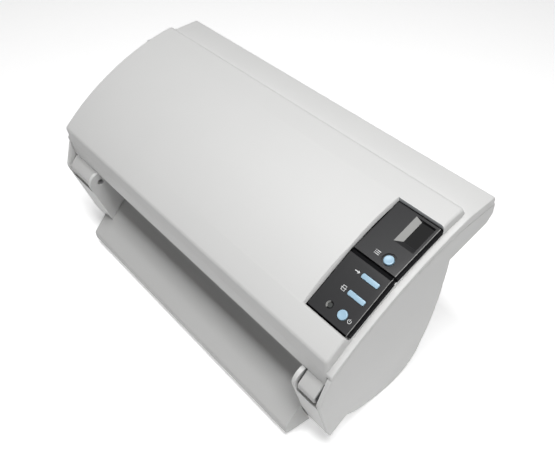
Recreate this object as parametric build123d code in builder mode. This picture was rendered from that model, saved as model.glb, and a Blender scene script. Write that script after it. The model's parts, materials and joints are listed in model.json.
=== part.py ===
from build123d import *
import os
from math import acos, atan2, cos, degrees, hypot, pi, radians, sin, sqrt, tan

# Desktop sheet-fed document scanner
# X is the width (control panel end positive), Y runs from the front to the rear, Z is up.
# The outline is given in "along, up" pairs: along is measured rearwards from the front
# foot tip of the side covers, up is measured from the bottom of the rounded belly.

# Overall sizes
body_width = 301.0
foot_height = 1.5
tray_reach = 18.0
seat_reach = 138.5
flange_width = 4.0

# Walls and clearances
side_wall = 3.0
cover_wall = 2.5
rear_wall = 2.5
seam = 0.6
edge_round = 2.5
running_gap = 0.05
part_gap = 0.5

# Outline of the side covers
tip_up = 13.0
arch_along, arch_up = 15.0, 23.5
belly_front_along, belly_front_up = 38.5, 7.0
belly_along = 68.0
heel_along, heel_up = 87.0, 8.4
back_low_along, back_low_up = 95.5, 26.0
back_along, back_up = 103.0, 74.0
waist_along, waist_up = 98.0, 119.0
seat_low_along, seat_low_up = 134.0, 127.0
seat_up = 133.5

# Parting line between the top unit and the side covers
part_front_along, part_front_up = -6.5, 93.5
part_mid_along, part_mid_up = 44.0, 127.3
part_bend_along, part_bend_up = 100.0, 143.3
part_rear_along, part_rear_up = 136.8, 143.3

# Top cover of the feeder unit
lip_low_along, lip_low_up = -5.0, 82.0
lip_top_along, lip_top_up = -7.5, 110.0
crown_rear_along, crown_rear_up = 103.5, 157.5
crown_rise = 9.1
flange_front_up = 98.0
flange_mid_along, flange_mid_up = 48.0, 132.6
flange_rear_along, flange_rear_up = 108.0, 151.0
strip_rear_along, strip_rear_up = 132.5, 151.0

# Hinge of the feeder unit
hinge_along, hinge_up = -4.5, 72.0
nose_radius = 9.5
arm_nose_radius = 8.8
bush_outer = 8.0
socket_bore = 5.2
arm_gap = 0.6

# Inner walls of the base, and the pockets between them and the ends
left_pocket = 35.5
right_pocket = 21.5
wall = 3.0
wall_inset = 3.0
sill_up = 62.6

# Front exit tray
tray_wing = 8.0
tray_top_along, tray_top_up = 9.3, 75.9
tray_deep_along, tray_deep_up = 12.0, 43.2
tray_nose_top_up = 13.2
tray_nose_up = 6.0
tray_floor_up = 2.0
tray_wall = 2.5

# Straight paper path from the rear mouth down to the exit
path_front_along, path_front_up = 2.0, 75.5
path_rear_along, path_rear_up = 134.0, 142.0
guide_gap = 0.8
guide_wall = 2.2
guide_start = 8.0
guide_end = 145.0

# Rollers and gears
module = 1.0
gear_width = 5.0
gear_offset = 12.0
backlash = 0.16
exit_at, exit_radius = 16.0, 7.0
feed_at, feed_radius = 62.0, 7.0
pick_at, pick_radius = 86.0, 10.0
roller_pinch = 0.5
pinch_gap = 0.2
shaft_radius = 3.0
roller_width = 16.0
roller_offset = 46.0
pick_width = 34.0
idler_radius = 4.6
idler_shaft_radius = 1.5
idler_width = 12.0
exit_teeth = 16
feed_teeth = 18
pick_teeth = 18
reverse_teeth = 18
drive_idler_teeth = 20
pinion_teeth = 16
motor_size = 35.0
motor_length = 30.0
motor_boss = 10.8
motor_bolt = 26.0
screw_radius = 1.2

# Optical units
glass_thickness = 2.0
glass_width = 12.0
glass_end_room = 8.0
lower_glass_at = 46.0
upper_glass_at = 32.0
sensor_depth = 16.0

# Control panel
panel_inset = 32.5
panel_drop = 2.5
panel_thickness = 2.4
lower_panel_angle = 29.4
upper_panel_angle = 17.2
panel_length = 41.0
round_button = 6.3
bar_button_length, bar_button_width = 12.2, 3.2
button_proud = 0.7
button_travel = 0.8
button_gap = 0.25
button_inset = 10.9
power_v = -12.0
scan_v = 0.5
send_v = 12.9
function_v = -14.0
lamp_inset, lamp_v = 20.9, -12.0
lamp_hole = 3.2
window_left_inset, window_right_inset = 13.1, 3.5
window_low_v, window_high_v = 1.2, 17.8
board_drop = 8.0
board_thickness = 1.6

# Latch, drawn engaged and turned to its released place
latch_along, latch_drop = 95.0, 8.42
latch_shaft_radius = 2.5
latch_turn = 14.0
latch_pin_along, latch_pin_up = 90.0, 122.0
latch_pin_radius = 2.0
hook_thickness = 3.0
hook_left_gap = 2.5
hook_right_gap = 3.5
lever_reach = 10.0
lever_slope = 15.0

# Sockets on the rear cover, counted from the left inner wall
inlet_from_wall = 24.0
usb_from_wall = 52.0
socket_up = 27.5
board_up = 19.0

# Places that follow from the sizes
side_half = body_width / 2
cover_half = side_half - flange_width
cover_width = 2 * cover_half
left_wall_x = left_pocket - side_half
right_wall_x = side_half - right_pocket
inner_left = left_wall_x + wall
inner_right = right_wall_x - wall
transport_x = (inner_left + inner_right) / 2
tray_left_x = left_wall_x - tray_wing
gear_x = left_wall_x - gear_offset
glass_length = inner_right - inner_left - 2 * glass_end_room
guide_low = guide_gap + guide_wall
panel_left_x = cover_half - panel_inset
button_x = cover_half - button_inset
lamp_x = cover_half - lamp_inset
window_left_x = cover_half - window_left_inset
window_right_x = cover_half - window_right_inset
hook_left_x = left_wall_x - hook_left_gap - hook_thickness
hook_right_x = right_wall_x + hook_right_gap
inlet_x = inner_left + inlet_from_wall
usb_x = inner_left + usb_from_wall
foot_y = -(seat_reach + tray_reach) / 2 + tray_reach


def at(along, up):
    """Point of the outline as (Y, Z)."""
    return (foot_y + along, foot_height + up)


def shifted(point, rise):
    """The same point, moved straight up."""
    return (point[0], point[1] + rise)


def arc_centre(first, last, rise):
    """Centre and radius of the arc that rises by `rise` over the chord first to last."""
    chord = hypot(last[0] - first[0], last[1] - first[1])
    radius = chord**2 / 8 / rise + rise / 2
    across = ((last[0] - first[0]) / chord, (last[1] - first[1]) / chord)
    middle = ((first[0] + last[0]) / 2, (first[1] + last[1]) / 2)
    back = radius - rise
    return (middle[0] + across[1] * back, middle[1] - across[0] * back), radius


def on_circle(centre, radius, angle):
    """Point at an angle, in degrees from +Y towards +Z."""
    return (centre[0] + radius * cos(radians(angle)), centre[1] + radius * sin(radians(angle)))


def tangent_angle(centre, radius, outside, side):
    """Angle of the point where a line from `outside` touches the circle."""
    reach = hypot(outside[0] - centre[0], outside[1] - centre[1])
    base = degrees(atan2(outside[1] - centre[1], outside[0] - centre[0]))
    return base + side * degrees(acos(radius / reach))


# Fixed points of the outline
tip = at(0, tip_up)
hinge = at(hinge_along, hinge_up)
part_front = at(part_front_along, part_front_up)
part_mid = at(part_mid_along, part_mid_up)
part_bend = at(part_bend_along, part_bend_up)
part_rear = at(part_rear_along, part_rear_up)
lip_low = at(lip_low_along, lip_low_up)
lip_top = at(lip_top_along, lip_top_up)
crown_rear = at(crown_rear_along, crown_rear_up)
crown_centre, crown_radius = arc_centre(lip_top, crown_rear, crown_rise)
crown_over_latch = sqrt(crown_radius**2 - (foot_y + latch_along - crown_centre[0]) ** 2)
latch_up = crown_centre[1] + crown_over_latch - latch_drop - foot_height

# Frame of the straight paper path: u runs up and rearwards, v points away from the base
path_front = at(path_front_along, path_front_up)
path_rear = at(path_rear_along, path_rear_up)
path_angle = atan2(path_rear[1] - path_front[1], path_rear[0] - path_front[0])
path_plane = Plane(
    origin=(0, path_front[0], path_front[1]),
    x_dir=(1, 0, 0),
    z_dir=(0, -sin(path_angle), cos(path_angle)),
)


def on_path(u, v):
    """Point at u along the path and v above it, as (Y, Z)."""
    y = path_front[0] + u * cos(path_angle) - v * sin(path_angle)
    z = path_front[1] + u * sin(path_angle) + v * cos(path_angle)
    return (y, z)


def across(x):
    """Sketch plane square to the width, at x."""
    return Plane.YZ.offset(x)


def shaft_plane(centre, x):
    """Sketch plane square to the width whose origin is the shaft centre."""
    return Plane(origin=(x, centre[0], centre[1]), x_dir=(0, 1, 0), z_dir=(1, 0, 0))


def side_outline():
    """Edges of the outline of a side cover."""
    low = tangent_angle(hinge, nose_radius, tip, -1)
    high = tangent_angle(hinge, nose_radius, part_front, 1)
    low_point = on_circle(hinge, nose_radius, low)
    high_point = on_circle(hinge, nose_radius, high)
    front_point = on_circle(hinge, nose_radius, 180)
    waist = at(waist_along, waist_up)
    back_low = at(back_low_along, back_low_up)
    belly = at(belly_along, 0)
    arch = at(arch_along, arch_up)
    seat_low = at(seat_low_along, seat_low_up)
    seat_back = at(seat_reach, seat_up)
    with BuildLine() as outline:
        Line(tip, low_point)
        ThreePointArc(low_point, front_point, high_point)
        Line(high_point, part_front)
        ThreePointArc(part_front, part_mid, part_bend)
        Polyline(part_bend, part_rear, seat_back, seat_low, waist)
        ThreePointArc(waist, at(back_along, back_up), back_low)
        ThreePointArc(back_low, at(heel_along, heel_up), belly)
        ThreePointArc(belly, at(belly_front_along, belly_front_up), arch)
        Line(arch, tip)
    return outline.edges()


def below_parting(reach):
    """Edges round the region under the parting line, down by `reach`."""
    deep_rear = shifted(part_rear, -reach)
    deep_front = (part_front[0], part_rear[1] - reach)
    with BuildLine() as outline:
        ThreePointArc(shifted(part_front, seam), shifted(part_mid, seam), shifted(part_bend, seam))
        Polyline(
            shifted(part_bend, seam),
            shifted(part_rear, seam),
            deep_rear,
            deep_front,
            shifted(part_front, seam),
        )
    return outline.edges()


# Side covers: a D-shaped plate with a rim that stiffens it
rim_depth = 9.0
rim_front = 9.0
with BuildPart() as right_side_cover:
    with BuildSketch(across(side_half - side_wall)):
        make_face(side_outline())
    extrude(amount=side_wall)
    fillet(right_side_cover.faces().sort_by(Axis.X)[-1].edges(), 1.2)
    with BuildSketch(across(side_half - side_wall - rim_depth)):
        make_face(side_outline())
        offset(amount=-0.2)
        with BuildSketch(Plane.XY, mode=Mode.PRIVATE) as rim_hole:
            make_face(side_outline())
            offset(amount=-2.4)
        add(rim_hole.sketch, mode=Mode.SUBTRACT)
        with Locations(hinge):
            Circle(nose_radius + 4.5, mode=Mode.SUBTRACT)
        with Locations((tip[0] + rim_front - 100, hinge[1])):
            Rectangle(200, 300, mode=Mode.SUBTRACT)
    extrude(amount=rim_depth)
right_side_cover.part.label = "right_side_cover"
export_step(right_side_cover.part, "parts/right_side_cover.step")

with BuildPart() as left_side_cover:
    mirror(right_side_cover.part, about=Plane.YZ)
left_side_cover.part.label = "left_side_cover"
export_step(left_side_cover.part, "parts/left_side_cover.step")

# Base housing: two upright walls, chassis floor, posts and the panels under the hinge pockets
floor_up = 12.0
floor_front_along, floor_rear_along = 36.0, 84.0
sill_wall = 2.2
sill_return = 8.0
gear_tip = 0.85
gear_root = 1.2


def wall_profile():
    """Sketch of an upright wall: flush with the side covers at the front, set in elsewhere."""
    with BuildSketch() as profile:
        make_face(side_outline())
        with Locations((hinge[0] + 100 + 12, hinge[1])):
            Rectangle(200, 300, mode=Mode.SUBTRACT)
        with Locations((hinge[0] - 50, lip_low[1] + 49)):
            Rectangle(100, 100, mode=Mode.SUBTRACT)
        with BuildSketch(mode=Mode.PRIVATE) as inset:
            make_face(side_outline())
            offset(amount=-wall_inset)
        add(inset.sketch)
        with BuildSketch(mode=Mode.PRIVATE) as lip_room:
            with Locations((hinge[0] - 50 + 2.9, lip_low[1] + 49)):
                Rectangle(100, 100)
        add(lip_room.sketch, mode=Mode.SUBTRACT)
        with BuildSketch(mode=Mode.PRIVATE) as nose_room:
            with Locations((hinge[0] - 50, hinge[1] + 50)):
                Rectangle(100, 100)
            with Locations(hinge):
                Circle(nose_radius, mode=Mode.SUBTRACT)
        add(nose_room.sketch, mode=Mode.SUBTRACT)
    return profile.sketch


def gear_meeting(first, first_reach, second, second_reach, side):
    """Centre at the two given distances from two other centres."""
    span = hypot(second[0] - first[0], second[1] - first[1])
    base = degrees(atan2(second[1] - first[1], second[0] - first[0]))
    swing = degrees(acos((first_reach**2 + span**2 - second_reach**2) / (2 * first_reach * span)))
    return on_circle(first, first_reach, base + side * swing)


def pitch_radius(teeth):
    return module * teeth / 2


# Roller and gear centres
exit_centre = on_path(exit_at, roller_pinch - exit_radius)
feed_centre = on_path(feed_at, roller_pinch - feed_radius)
pick_centre = on_path(pick_at, roller_pinch - pick_radius)
exit_feed_span = hypot(feed_centre[0] - exit_centre[0], feed_centre[1] - exit_centre[1])
long_idler_room = exit_feed_span - pitch_radius(exit_teeth) - pitch_radius(feed_teeth)
long_idler_teeth = int(long_idler_room / module) + 2
long_idler_centre = gear_meeting(
    exit_centre,
    pitch_radius(exit_teeth + long_idler_teeth),
    feed_centre,
    pitch_radius(feed_teeth + long_idler_teeth),
    -1,
)
reverse_centre = gear_meeting(
    feed_centre,
    pitch_radius(feed_teeth + reverse_teeth),
    pick_centre,
    pitch_radius(pick_teeth + reverse_teeth),
    -1,
)
drive_idler_centre = on_circle(
    long_idler_centre, pitch_radius(long_idler_teeth + drive_idler_teeth), -78
)
motor_centre = on_circle(drive_idler_centre, pitch_radius(drive_idler_teeth + pinion_teeth), -66)
idler_v = roller_pinch + pinch_gap + idler_radius
exit_idler_centre = on_path(exit_at, idler_v)
feed_idler_centre = on_path(feed_at, idler_v)
latch_axis = at(latch_along, latch_up)
latch_pin = at(latch_pin_along, latch_pin_up)
bush_wall = 1.6
stud_radius = 2.0
roller_shafts = [exit_centre, feed_centre, pick_centre]
stud_centres = [long_idler_centre, drive_idler_centre, reverse_centre]

side_bosses = [at(20, 38), at(84, 30), at(28, 106)]
board_left_x, board_right_x = inner_left + 8, inner_right - 9
board_front_along, board_rear_along = 40.0, 90.5
post_xs = [board_left_x + 6, transport_x, board_right_x - 6]
post_alongs = [board_front_along + 5, floor_rear_along - 4]

with BuildPart() as base_housing:
    for wall_x in (left_wall_x, right_wall_x - wall):
        with BuildSketch(across(wall_x)):
            add(wall_profile())
        extrude(amount=wall)
    with BuildSketch(across(inner_left)):
        with Locations(at((floor_front_along + floor_rear_along) / 2, floor_up + 1.25)):
            Rectangle(floor_rear_along - floor_front_along, 2.5)
    extrude(amount=inner_right - inner_left)
    with BuildSketch(Plane.XY.offset(foot_height + floor_up)):
        for post_x in post_xs:
            for post_along in post_alongs:
                with Locations((post_x, foot_y + post_along)):
                    Circle(3.5)
    extrude(amount=board_up - floor_up)
    # Panels that close the base under the hinge pockets
    sill = at(0, sill_up)
    for panel_x, panel_width in (
        (right_wall_x, side_half - side_wall - right_wall_x - 0.2),
        (-side_half + side_wall + 0.2, left_wall_x + side_half - side_wall - 0.2),
    ):
        with BuildSketch(across(panel_x)):
            make_face(side_outline())
            with BuildSketch(mode=Mode.PRIVATE) as inside:
                make_face(side_outline())
                offset(amount=-sill_wall)
            add(inside.sketch, mode=Mode.SUBTRACT)
            with Locations((sill[0], sill[1] + 100)):
                Rectangle(400, 200, mode=Mode.SUBTRACT)
            with Locations((tip[0] + sill_return + 100, sill[1] - 100)):
                Rectangle(200, 240, mode=Mode.SUBTRACT)
        extrude(amount=panel_width)
    # Bosses that carry the side covers
    for boss_x, boss_length in (
        (right_wall_x, side_half - side_wall - right_wall_x),
        (-side_half + side_wall, left_wall_x + side_half - side_wall),
    ):
        with BuildSketch(across(boss_x)):
            with Locations(*side_bosses):
                Circle(3.5)
        extrude(amount=boss_length)
    with BuildSketch(across(-side_half + side_wall)):
        with Locations(*side_bosses):
            Circle(1.3)
    extrude(amount=body_width - 2 * side_wall, mode=Mode.SUBTRACT)
    # Bores for the hinge bushes, roller bushes, motor and gear studs
    with BuildSketch(across(left_wall_x - 1)):
        with Locations(hinge):
            Circle(bush_outer / 2)
    extrude(amount=body_width, mode=Mode.SUBTRACT)
    with BuildSketch(across(left_wall_x - 1)):
        with Locations(*roller_shafts):
            Circle(shaft_radius + bush_wall)
    extrude(amount=body_width, mode=Mode.SUBTRACT)
    with BuildSketch(across(left_wall_x - 1)):
        with Locations(*stud_centres):
            Circle(stud_radius)
        with Locations(motor_centre):
            Circle(motor_boss + 0.2)
            with GridLocations(motor_bolt, motor_bolt, 2, 2):
                Circle(screw_radius)
    extrude(amount=wall + 2, mode=Mode.SUBTRACT)
base_housing.part.label = "base_housing"
export_step(base_housing.part, "parts/base_housing.step")

# Front exit tray: a steep drop behind the exit, the slope, its upright front edge and its floor
tray_room = 0.3
tray_front_radius = 3.2
drop_top = at(tray_top_along, tray_top_up)
slope_top = at(tray_deep_along, tray_deep_up)
slope_foot = at(-tray_reach, tray_nose_top_up)
edge_foot = at(-tray_reach, tray_nose_up)
floor_front = at(3 - tray_reach, tray_floor_up)
floor_end = at(floor_front_along - 3, tray_floor_up)
wing_end = at(4, tray_floor_up)


def front_line_at(up):
    """Point on the straight front edge of the side covers at a height."""
    touch = on_circle(hinge, nose_radius, tangent_angle(hinge, nose_radius, tip, -1))
    share = (foot_height + up - tip[1]) / (touch[1] - tip[1])
    return (tip[0] + share * (touch[0] - tip[0]), foot_height + up)


def slope_at(up):
    """Point on the tray's slope at a height."""
    share = (foot_height + up - slope_foot[1]) / (slope_top[1] - slope_foot[1])
    return (slope_foot[0] + share * (slope_top[0] - slope_foot[0]), foot_height + up)


def wing_depth(up):
    """Room between the tray's slope and the front edge of the side covers at a height."""
    return front_line_at(up)[0] - part_gap - slope_at(up)[0]


# The left wing ends where the slope meets the front edge
wing_up = tip_up + 10 * wing_depth(tip_up) / (wing_depth(tip_up) - wing_depth(tip_up + 10))
wing_top = slope_at(wing_up)
with BuildPart() as exit_tray:
    with BuildSketch(across(inner_left + tray_room)):
        with BuildLine():
            FilletPolyline(
                drop_top,
                slope_top,
                slope_foot,
                edge_foot,
                floor_front,
                floor_end,
                radius=tray_front_radius,
            )
            offset(amount=tray_wall, side=Side.LEFT)
        make_face()
    extrude(amount=inner_right - inner_left - 2 * tray_room)
    # Closed right end, under the side cover
    with BuildSketch(across(inner_right - tray_room - tray_wall)):
        with BuildLine():
            FilletPolyline(
                slope_top, slope_foot, edge_foot, floor_front, floor_end, radius=tray_front_radius
            )
            Polyline(floor_end, at(floor_front_along - 3, 5.5), at(16, 20), slope_top)
        make_face()
    extrude(amount=tray_wall)
    # Left wing, in front of the panel under the hinge pocket
    with BuildSketch(across(tray_left_x)):
        with BuildLine():
            FilletPolyline(
                wing_top, slope_foot, edge_foot, floor_front, wing_end, radius=tray_front_radius
            )
            Polyline(
                wing_end,
                (tip[0] + 4, tip[1] - part_gap),
                (tip[0] - part_gap, tip[1] - part_gap),
                wing_top,
            )
        make_face()
    extrude(amount=inner_left + tray_room - tray_left_x)
exit_tray.part.label = "exit_tray"
export_step(exit_tray.part, "parts/exit_tray.step")

# Rear cover: the belly, the back and the underside of the chute seat as one curved sheet
rear_half = side_half - side_wall - rim_depth - 0.3
vent_rows, vent_columns = 6, 9
vent_length, vent_width = 14.0, 2.4
vent_x, vent_up = transport_x + 33, 74.0
slot_length, slot_width = 24.0, 3.0
slot_x = 85.0
with BuildPart() as rear_cover:
    with BuildSketch(across(-rear_half)):
        make_face(side_outline())
        offset(amount=-0.2)
        with BuildSketch(mode=Mode.PRIVATE) as inside:
            make_face(side_outline())
            offset(amount=-0.2 - rear_wall)
        add(inside.sketch, mode=Mode.SUBTRACT)
        with Locations((tip[0] + arch_along - 100, hinge[1])):
            Rectangle(200, 400, mode=Mode.SUBTRACT)
        with Locations((part_rear[0] - rear_wall - 0.4 - 200, part_rear[1] + 91)):
            Rectangle(400, 200, mode=Mode.SUBTRACT)
        with Locations((at(back_low_along - 3, 0)[0] - 200, at(0, seat_low_up)[1] - 40 + 100)):
            Rectangle(400, 200, mode=Mode.SUBTRACT)
    extrude(amount=2 * rear_half)
    # Room for the lower guide and the mouth where paper goes in
    with BuildSketch(across(inner_left)):
        with BuildLine():
            Polyline(
                on_path(70, -guide_low - part_gap),
                on_path(guide_end + 15, -guide_low - part_gap),
                on_path(guide_end + 15, 20),
                on_path(70, 20),
                close=True,
            )
        make_face()
    extrude(amount=inner_right - inner_left, mode=Mode.SUBTRACT)
    with BuildSketch(Plane.XZ.offset(-at(back_along - 12, 0)[0])):
        with GridLocations(vent_length + 4, vent_width + 2.6, vent_columns, vent_rows):
            with Locations((vent_x, foot_height + vent_up)):
                SlotOverall(vent_length, vent_width)
    extrude(amount=-30, mode=Mode.SUBTRACT)
    with BuildSketch(Plane.XZ.offset(-at(back_low_along - 8, 0)[0])):
        with Locations((inlet_x, foot_height + socket_up)):
            Circle(5)
        with Locations((usb_x, foot_height + socket_up)):
            Rectangle(9.5, 9)
    extrude(amount=-20, mode=Mode.SUBTRACT)
    with BuildSketch(Plane.XY.offset(at(0, seat_low_up - 6)[1])):
        with Locations((transport_x - slot_x, at(seat_low_along - 9, 0)[0])):
            Rectangle(slot_length, slot_width)
        with Locations((transport_x + slot_x, at(seat_low_along - 9, 0)[0])):
            Rectangle(slot_length, slot_width)
    extrude(amount=12, mode=Mode.SUBTRACT)
rear_cover.part.label = "rear_cover"
export_step(rear_cover.part, "parts/rear_cover.step")

# Rubber feet: two under the belly, two under the tray floor
foot_radius = 7.0
foot_x = side_half - 42.5
front_foot_along = 2.0
with BuildPart() as rubber_feet:
    with BuildSketch(Plane.XY):
        with Locations((-foot_x, foot_y + belly_along), (foot_x, foot_y + belly_along)):
            Circle(foot_radius)
    extrude(amount=foot_height + 0.1)
    with BuildSketch(Plane.XY):
        with Locations((-foot_x, foot_y + front_foot_along), (foot_x, foot_y + front_foot_along)):
            Circle(foot_radius)
    extrude(amount=foot_height + tray_floor_up)
rubber_feet.part.label = "rubber_feet"
export_step(rubber_feet.part, "parts/rubber_feet.step")

# Tubular hinge bushes: the feeder unit turns on them, and their bores stay open as sockets
bush_reach = side_half - side_wall
with BuildPart() as hinge_bushes:
    with BuildSketch(shaft_plane(hinge, inner_right)):
        Circle(bush_outer / 2)
        Circle(socket_bore / 2, mode=Mode.SUBTRACT)
    extrude(amount=bush_reach - inner_right)
    with BuildSketch(shaft_plane(hinge, -bush_reach)):
        Circle(bush_outer / 2)
        Circle(socket_bore / 2, mode=Mode.SUBTRACT)
    extrude(amount=bush_reach + inner_left)
hinge_bushes.part.label = "hinge_bushes"
export_step(hinge_bushes.part, "parts/hinge_bushes.step")


def guide_openings(stations):
    """Openings of a paper guide in the path frame: (x, u, width, length) each."""
    for x, u, opening_width, opening_length in stations:
        with Locations((x, u)):
            Rectangle(opening_width, opening_length)


def half_chord(radius, depth):
    """Half the width that a circle shows at a depth from its centre."""
    return sqrt(radius**2 - depth**2)


roller_xs = [transport_x - roller_offset, transport_x + roller_offset]
roller_stations = []
for x in roller_xs:
    exit_half = half_chord(exit_radius, exit_radius - roller_pinch - guide_low)
    feed_half = half_chord(feed_radius, feed_radius - roller_pinch - guide_low)
    roller_stations.append((x, exit_at, roller_width + 2, 2 * exit_half + 1.4))
    roller_stations.append((x, feed_at, roller_width + 2, 2 * feed_half + 1.4))
pick_half = half_chord(pick_radius, pick_radius - roller_pinch - guide_low)
roller_stations.append((transport_x, pick_at, pick_width + 2, 2 * pick_half + 1.4))
lower_glass_station = (transport_x, lower_glass_at, glass_length + 0.3, glass_width + 0.3)
upper_glass_station = (transport_x, upper_glass_at, glass_length + 0.3, glass_width + 0.3)
guide_room = 0.5

# Lower paper guide
with BuildPart() as lower_guide:
    with BuildSketch(path_plane.offset(-guide_low)):
        with Locations(((inner_left + inner_right) / 2, (guide_start + guide_end) / 2)):
            Rectangle(inner_right - inner_left - 2 * guide_room, guide_end - guide_start)
        with BuildSketch(mode=Mode.PRIVATE) as openings:
            guide_openings(roller_stations + [lower_glass_station])
        add(openings.sketch, mode=Mode.SUBTRACT)
    extrude(amount=guide_wall)
    with BuildSketch(path_plane.offset(-guide_low)):
        for rib_offset in (-103.0, -71.0, -27.0, 27.0, 71.0, 103.0):
            with Locations((transport_x + rib_offset, pick_at)):
                Rectangle(1.6, 22)
    extrude(amount=-3)
lower_guide.part.label = "lower_guide"
export_step(lower_guide.part, "parts/lower_guide.step")

# Glass strips and the optical units behind them
with BuildPart() as lower_glass:
    with BuildSketch(path_plane.offset(-guide_gap - glass_thickness)):
        with Locations((transport_x, lower_glass_at)):
            Rectangle(glass_length, glass_width)
    extrude(amount=glass_thickness)
lower_glass.part.label = "lower_glass"
export_step(lower_glass.part, "parts/lower_glass.step")

with BuildPart() as upper_glass:
    with BuildSketch(path_plane.offset(guide_gap)):
        with Locations((transport_x, upper_glass_at)):
            Rectangle(glass_length, glass_width)
    extrude(amount=glass_thickness)
upper_glass.part.label = "upper_glass"
export_step(upper_glass.part, "parts/upper_glass.step")

sensor_length = 228.0
sensor_width = 15.0
with BuildPart() as lower_sensor_unit:
    with BuildSketch(path_plane.offset(-guide_low)):
        with Locations((transport_x, lower_glass_at)):
            Rectangle(sensor_length, sensor_width)
    extrude(amount=-sensor_depth)
    fillet(lower_sensor_unit.edges().filter_by(Axis.X), 1.5)
lower_sensor_unit.part.label = "lower_sensor_unit"
export_step(lower_sensor_unit.part, "parts/lower_sensor_unit.step")

with BuildPart() as upper_sensor_unit:
    with BuildSketch(path_plane.offset(guide_low)):
        with Locations((transport_x, upper_glass_at)):
            Rectangle(sensor_length, sensor_width)
    extrude(amount=sensor_depth)
    fillet(upper_sensor_unit.edges().filter_by(Axis.X), 1.5)
upper_sensor_unit.part.label = "upper_sensor_unit"
export_step(upper_sensor_unit.part, "parts/upper_sensor_unit.step")

# Roller shafts, rubber rollers and bushes
shaft_left_x = gear_x - 2.0
shaft_right_x = right_wall_x + 1.5


with BuildPart() as exit_shaft:
    with BuildSketch(shaft_plane(exit_centre, shaft_left_x)):
        Circle(shaft_radius)
    extrude(amount=shaft_right_x - shaft_left_x)
exit_shaft.part.label = "exit_shaft"
export_step(exit_shaft.part, "parts/exit_shaft.step")

with BuildPart() as exit_rollers:
    for x in roller_xs:
        with BuildSketch(shaft_plane(exit_centre, x - roller_width / 2)):
            Circle(exit_radius)
            Circle(shaft_radius, mode=Mode.SUBTRACT)
        extrude(amount=roller_width)
exit_rollers.part.label = "exit_rollers"
export_step(exit_rollers.part, "parts/exit_rollers.step")

with BuildPart() as feed_shaft:
    with BuildSketch(shaft_plane(feed_centre, shaft_left_x)):
        Circle(shaft_radius)
    extrude(amount=shaft_right_x - shaft_left_x)
feed_shaft.part.label = "feed_shaft"
export_step(feed_shaft.part, "parts/feed_shaft.step")

with BuildPart() as feed_rollers:
    for x in roller_xs:
        with BuildSketch(shaft_plane(feed_centre, x - roller_width / 2)):
            Circle(feed_radius)
            Circle(shaft_radius, mode=Mode.SUBTRACT)
        extrude(amount=roller_width)
feed_rollers.part.label = "feed_rollers"
export_step(feed_rollers.part, "parts/feed_rollers.step")

with BuildPart() as pick_shaft:
    with BuildSketch(shaft_plane(pick_centre, shaft_left_x)):
        Circle(shaft_radius)
    extrude(amount=shaft_right_x - shaft_left_x)
pick_shaft.part.label = "pick_shaft"
export_step(pick_shaft.part, "parts/pick_shaft.step")

with BuildPart() as pick_roller:
    with BuildSketch(shaft_plane(pick_centre, transport_x - pick_width / 2)):
        Circle(pick_radius)
        Circle(shaft_radius, mode=Mode.SUBTRACT)
    extrude(amount=pick_width)
pick_roller.part.label = "pick_roller"
export_step(pick_roller.part, "parts/pick_roller.step")

with BuildPart() as shaft_bushes:
    for wall_x in (left_wall_x, inner_right):
        for centre in roller_shafts:
            with BuildSketch(shaft_plane(centre, wall_x)):
                Circle(shaft_radius + bush_wall)
                Circle(shaft_radius + running_gap, mode=Mode.SUBTRACT)
            extrude(amount=wall)
shaft_bushes.part.label = "shaft_bushes"
export_step(shaft_bushes.part, "parts/shaft_bushes.step")

# Gears: involute teeth, thinned by the backlash
pressure_angle = radians(20)
stud_gap = 0.05


def tooth_half_angle(teeth, radius):
    """Half the angle of a tooth at a radius, in degrees."""
    pitch = pitch_radius(teeth)
    base = pitch * cos(pressure_angle)
    at_pitch = (pi * module / 2 - backlash) / 2 / pitch
    spread = acos(base / max(radius, base))
    at_radius = at_pitch + tan(pressure_angle) - pressure_angle - tan(spread) + spread
    return degrees(at_radius)


def gear_outline(teeth, phase):
    """Edges of a gear whose first tooth points at the angle `phase`."""
    pitch = pitch_radius(teeth)
    radii = [pitch - gear_root, pitch - 0.45, pitch + 0.1, pitch + 0.5, pitch + gear_tip]
    points = []
    for tooth in range(teeth):
        middle = phase + tooth * 360 / teeth
        for radius in radii:
            points.append(on_circle((0, 0), radius, middle - tooth_half_angle(teeth, radius)))
        for radius in reversed(radii):
            points.append(on_circle((0, 0), radius, middle + tooth_half_angle(teeth, radius)))
    with BuildLine() as outline:
        Polyline(*points, close=True)
    return outline.edges()


def meshing_phase(first_teeth, first_phase, first_centre, teeth, centre):
    """Phase of a gear that meshes with a gear whose phase is known."""
    aim = degrees(atan2(centre[1] - first_centre[1], centre[0] - first_centre[0]))
    part_tooth = (aim - first_phase) * first_teeth / 360
    return aim + 180 - (0.5 - part_tooth) * 360 / teeth


pinion_phase = 0.0
drive_idler_phase = meshing_phase(
    pinion_teeth, pinion_phase, motor_centre, drive_idler_teeth, drive_idler_centre
)
long_idler_phase = meshing_phase(
    drive_idler_teeth, drive_idler_phase, drive_idler_centre, long_idler_teeth, long_idler_centre
)
exit_phase = meshing_phase(
    long_idler_teeth, long_idler_phase, long_idler_centre, exit_teeth, exit_centre
)
feed_phase = meshing_phase(
    long_idler_teeth, long_idler_phase, long_idler_centre, feed_teeth, feed_centre
)
reverse_phase = meshing_phase(feed_teeth, feed_phase, feed_centre, reverse_teeth, reverse_centre)
pick_phase = meshing_phase(
    reverse_teeth, reverse_phase, reverse_centre, pick_teeth, pick_centre
)

with BuildPart() as motor_pinion:
    with BuildSketch(shaft_plane(motor_centre, gear_x)):
        make_face(gear_outline(pinion_teeth, pinion_phase))
        Circle(2.5, mode=Mode.SUBTRACT)
    extrude(amount=gear_width)
motor_pinion.part.label = "motor_pinion"
export_step(motor_pinion.part, "parts/motor_pinion.step")

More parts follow.
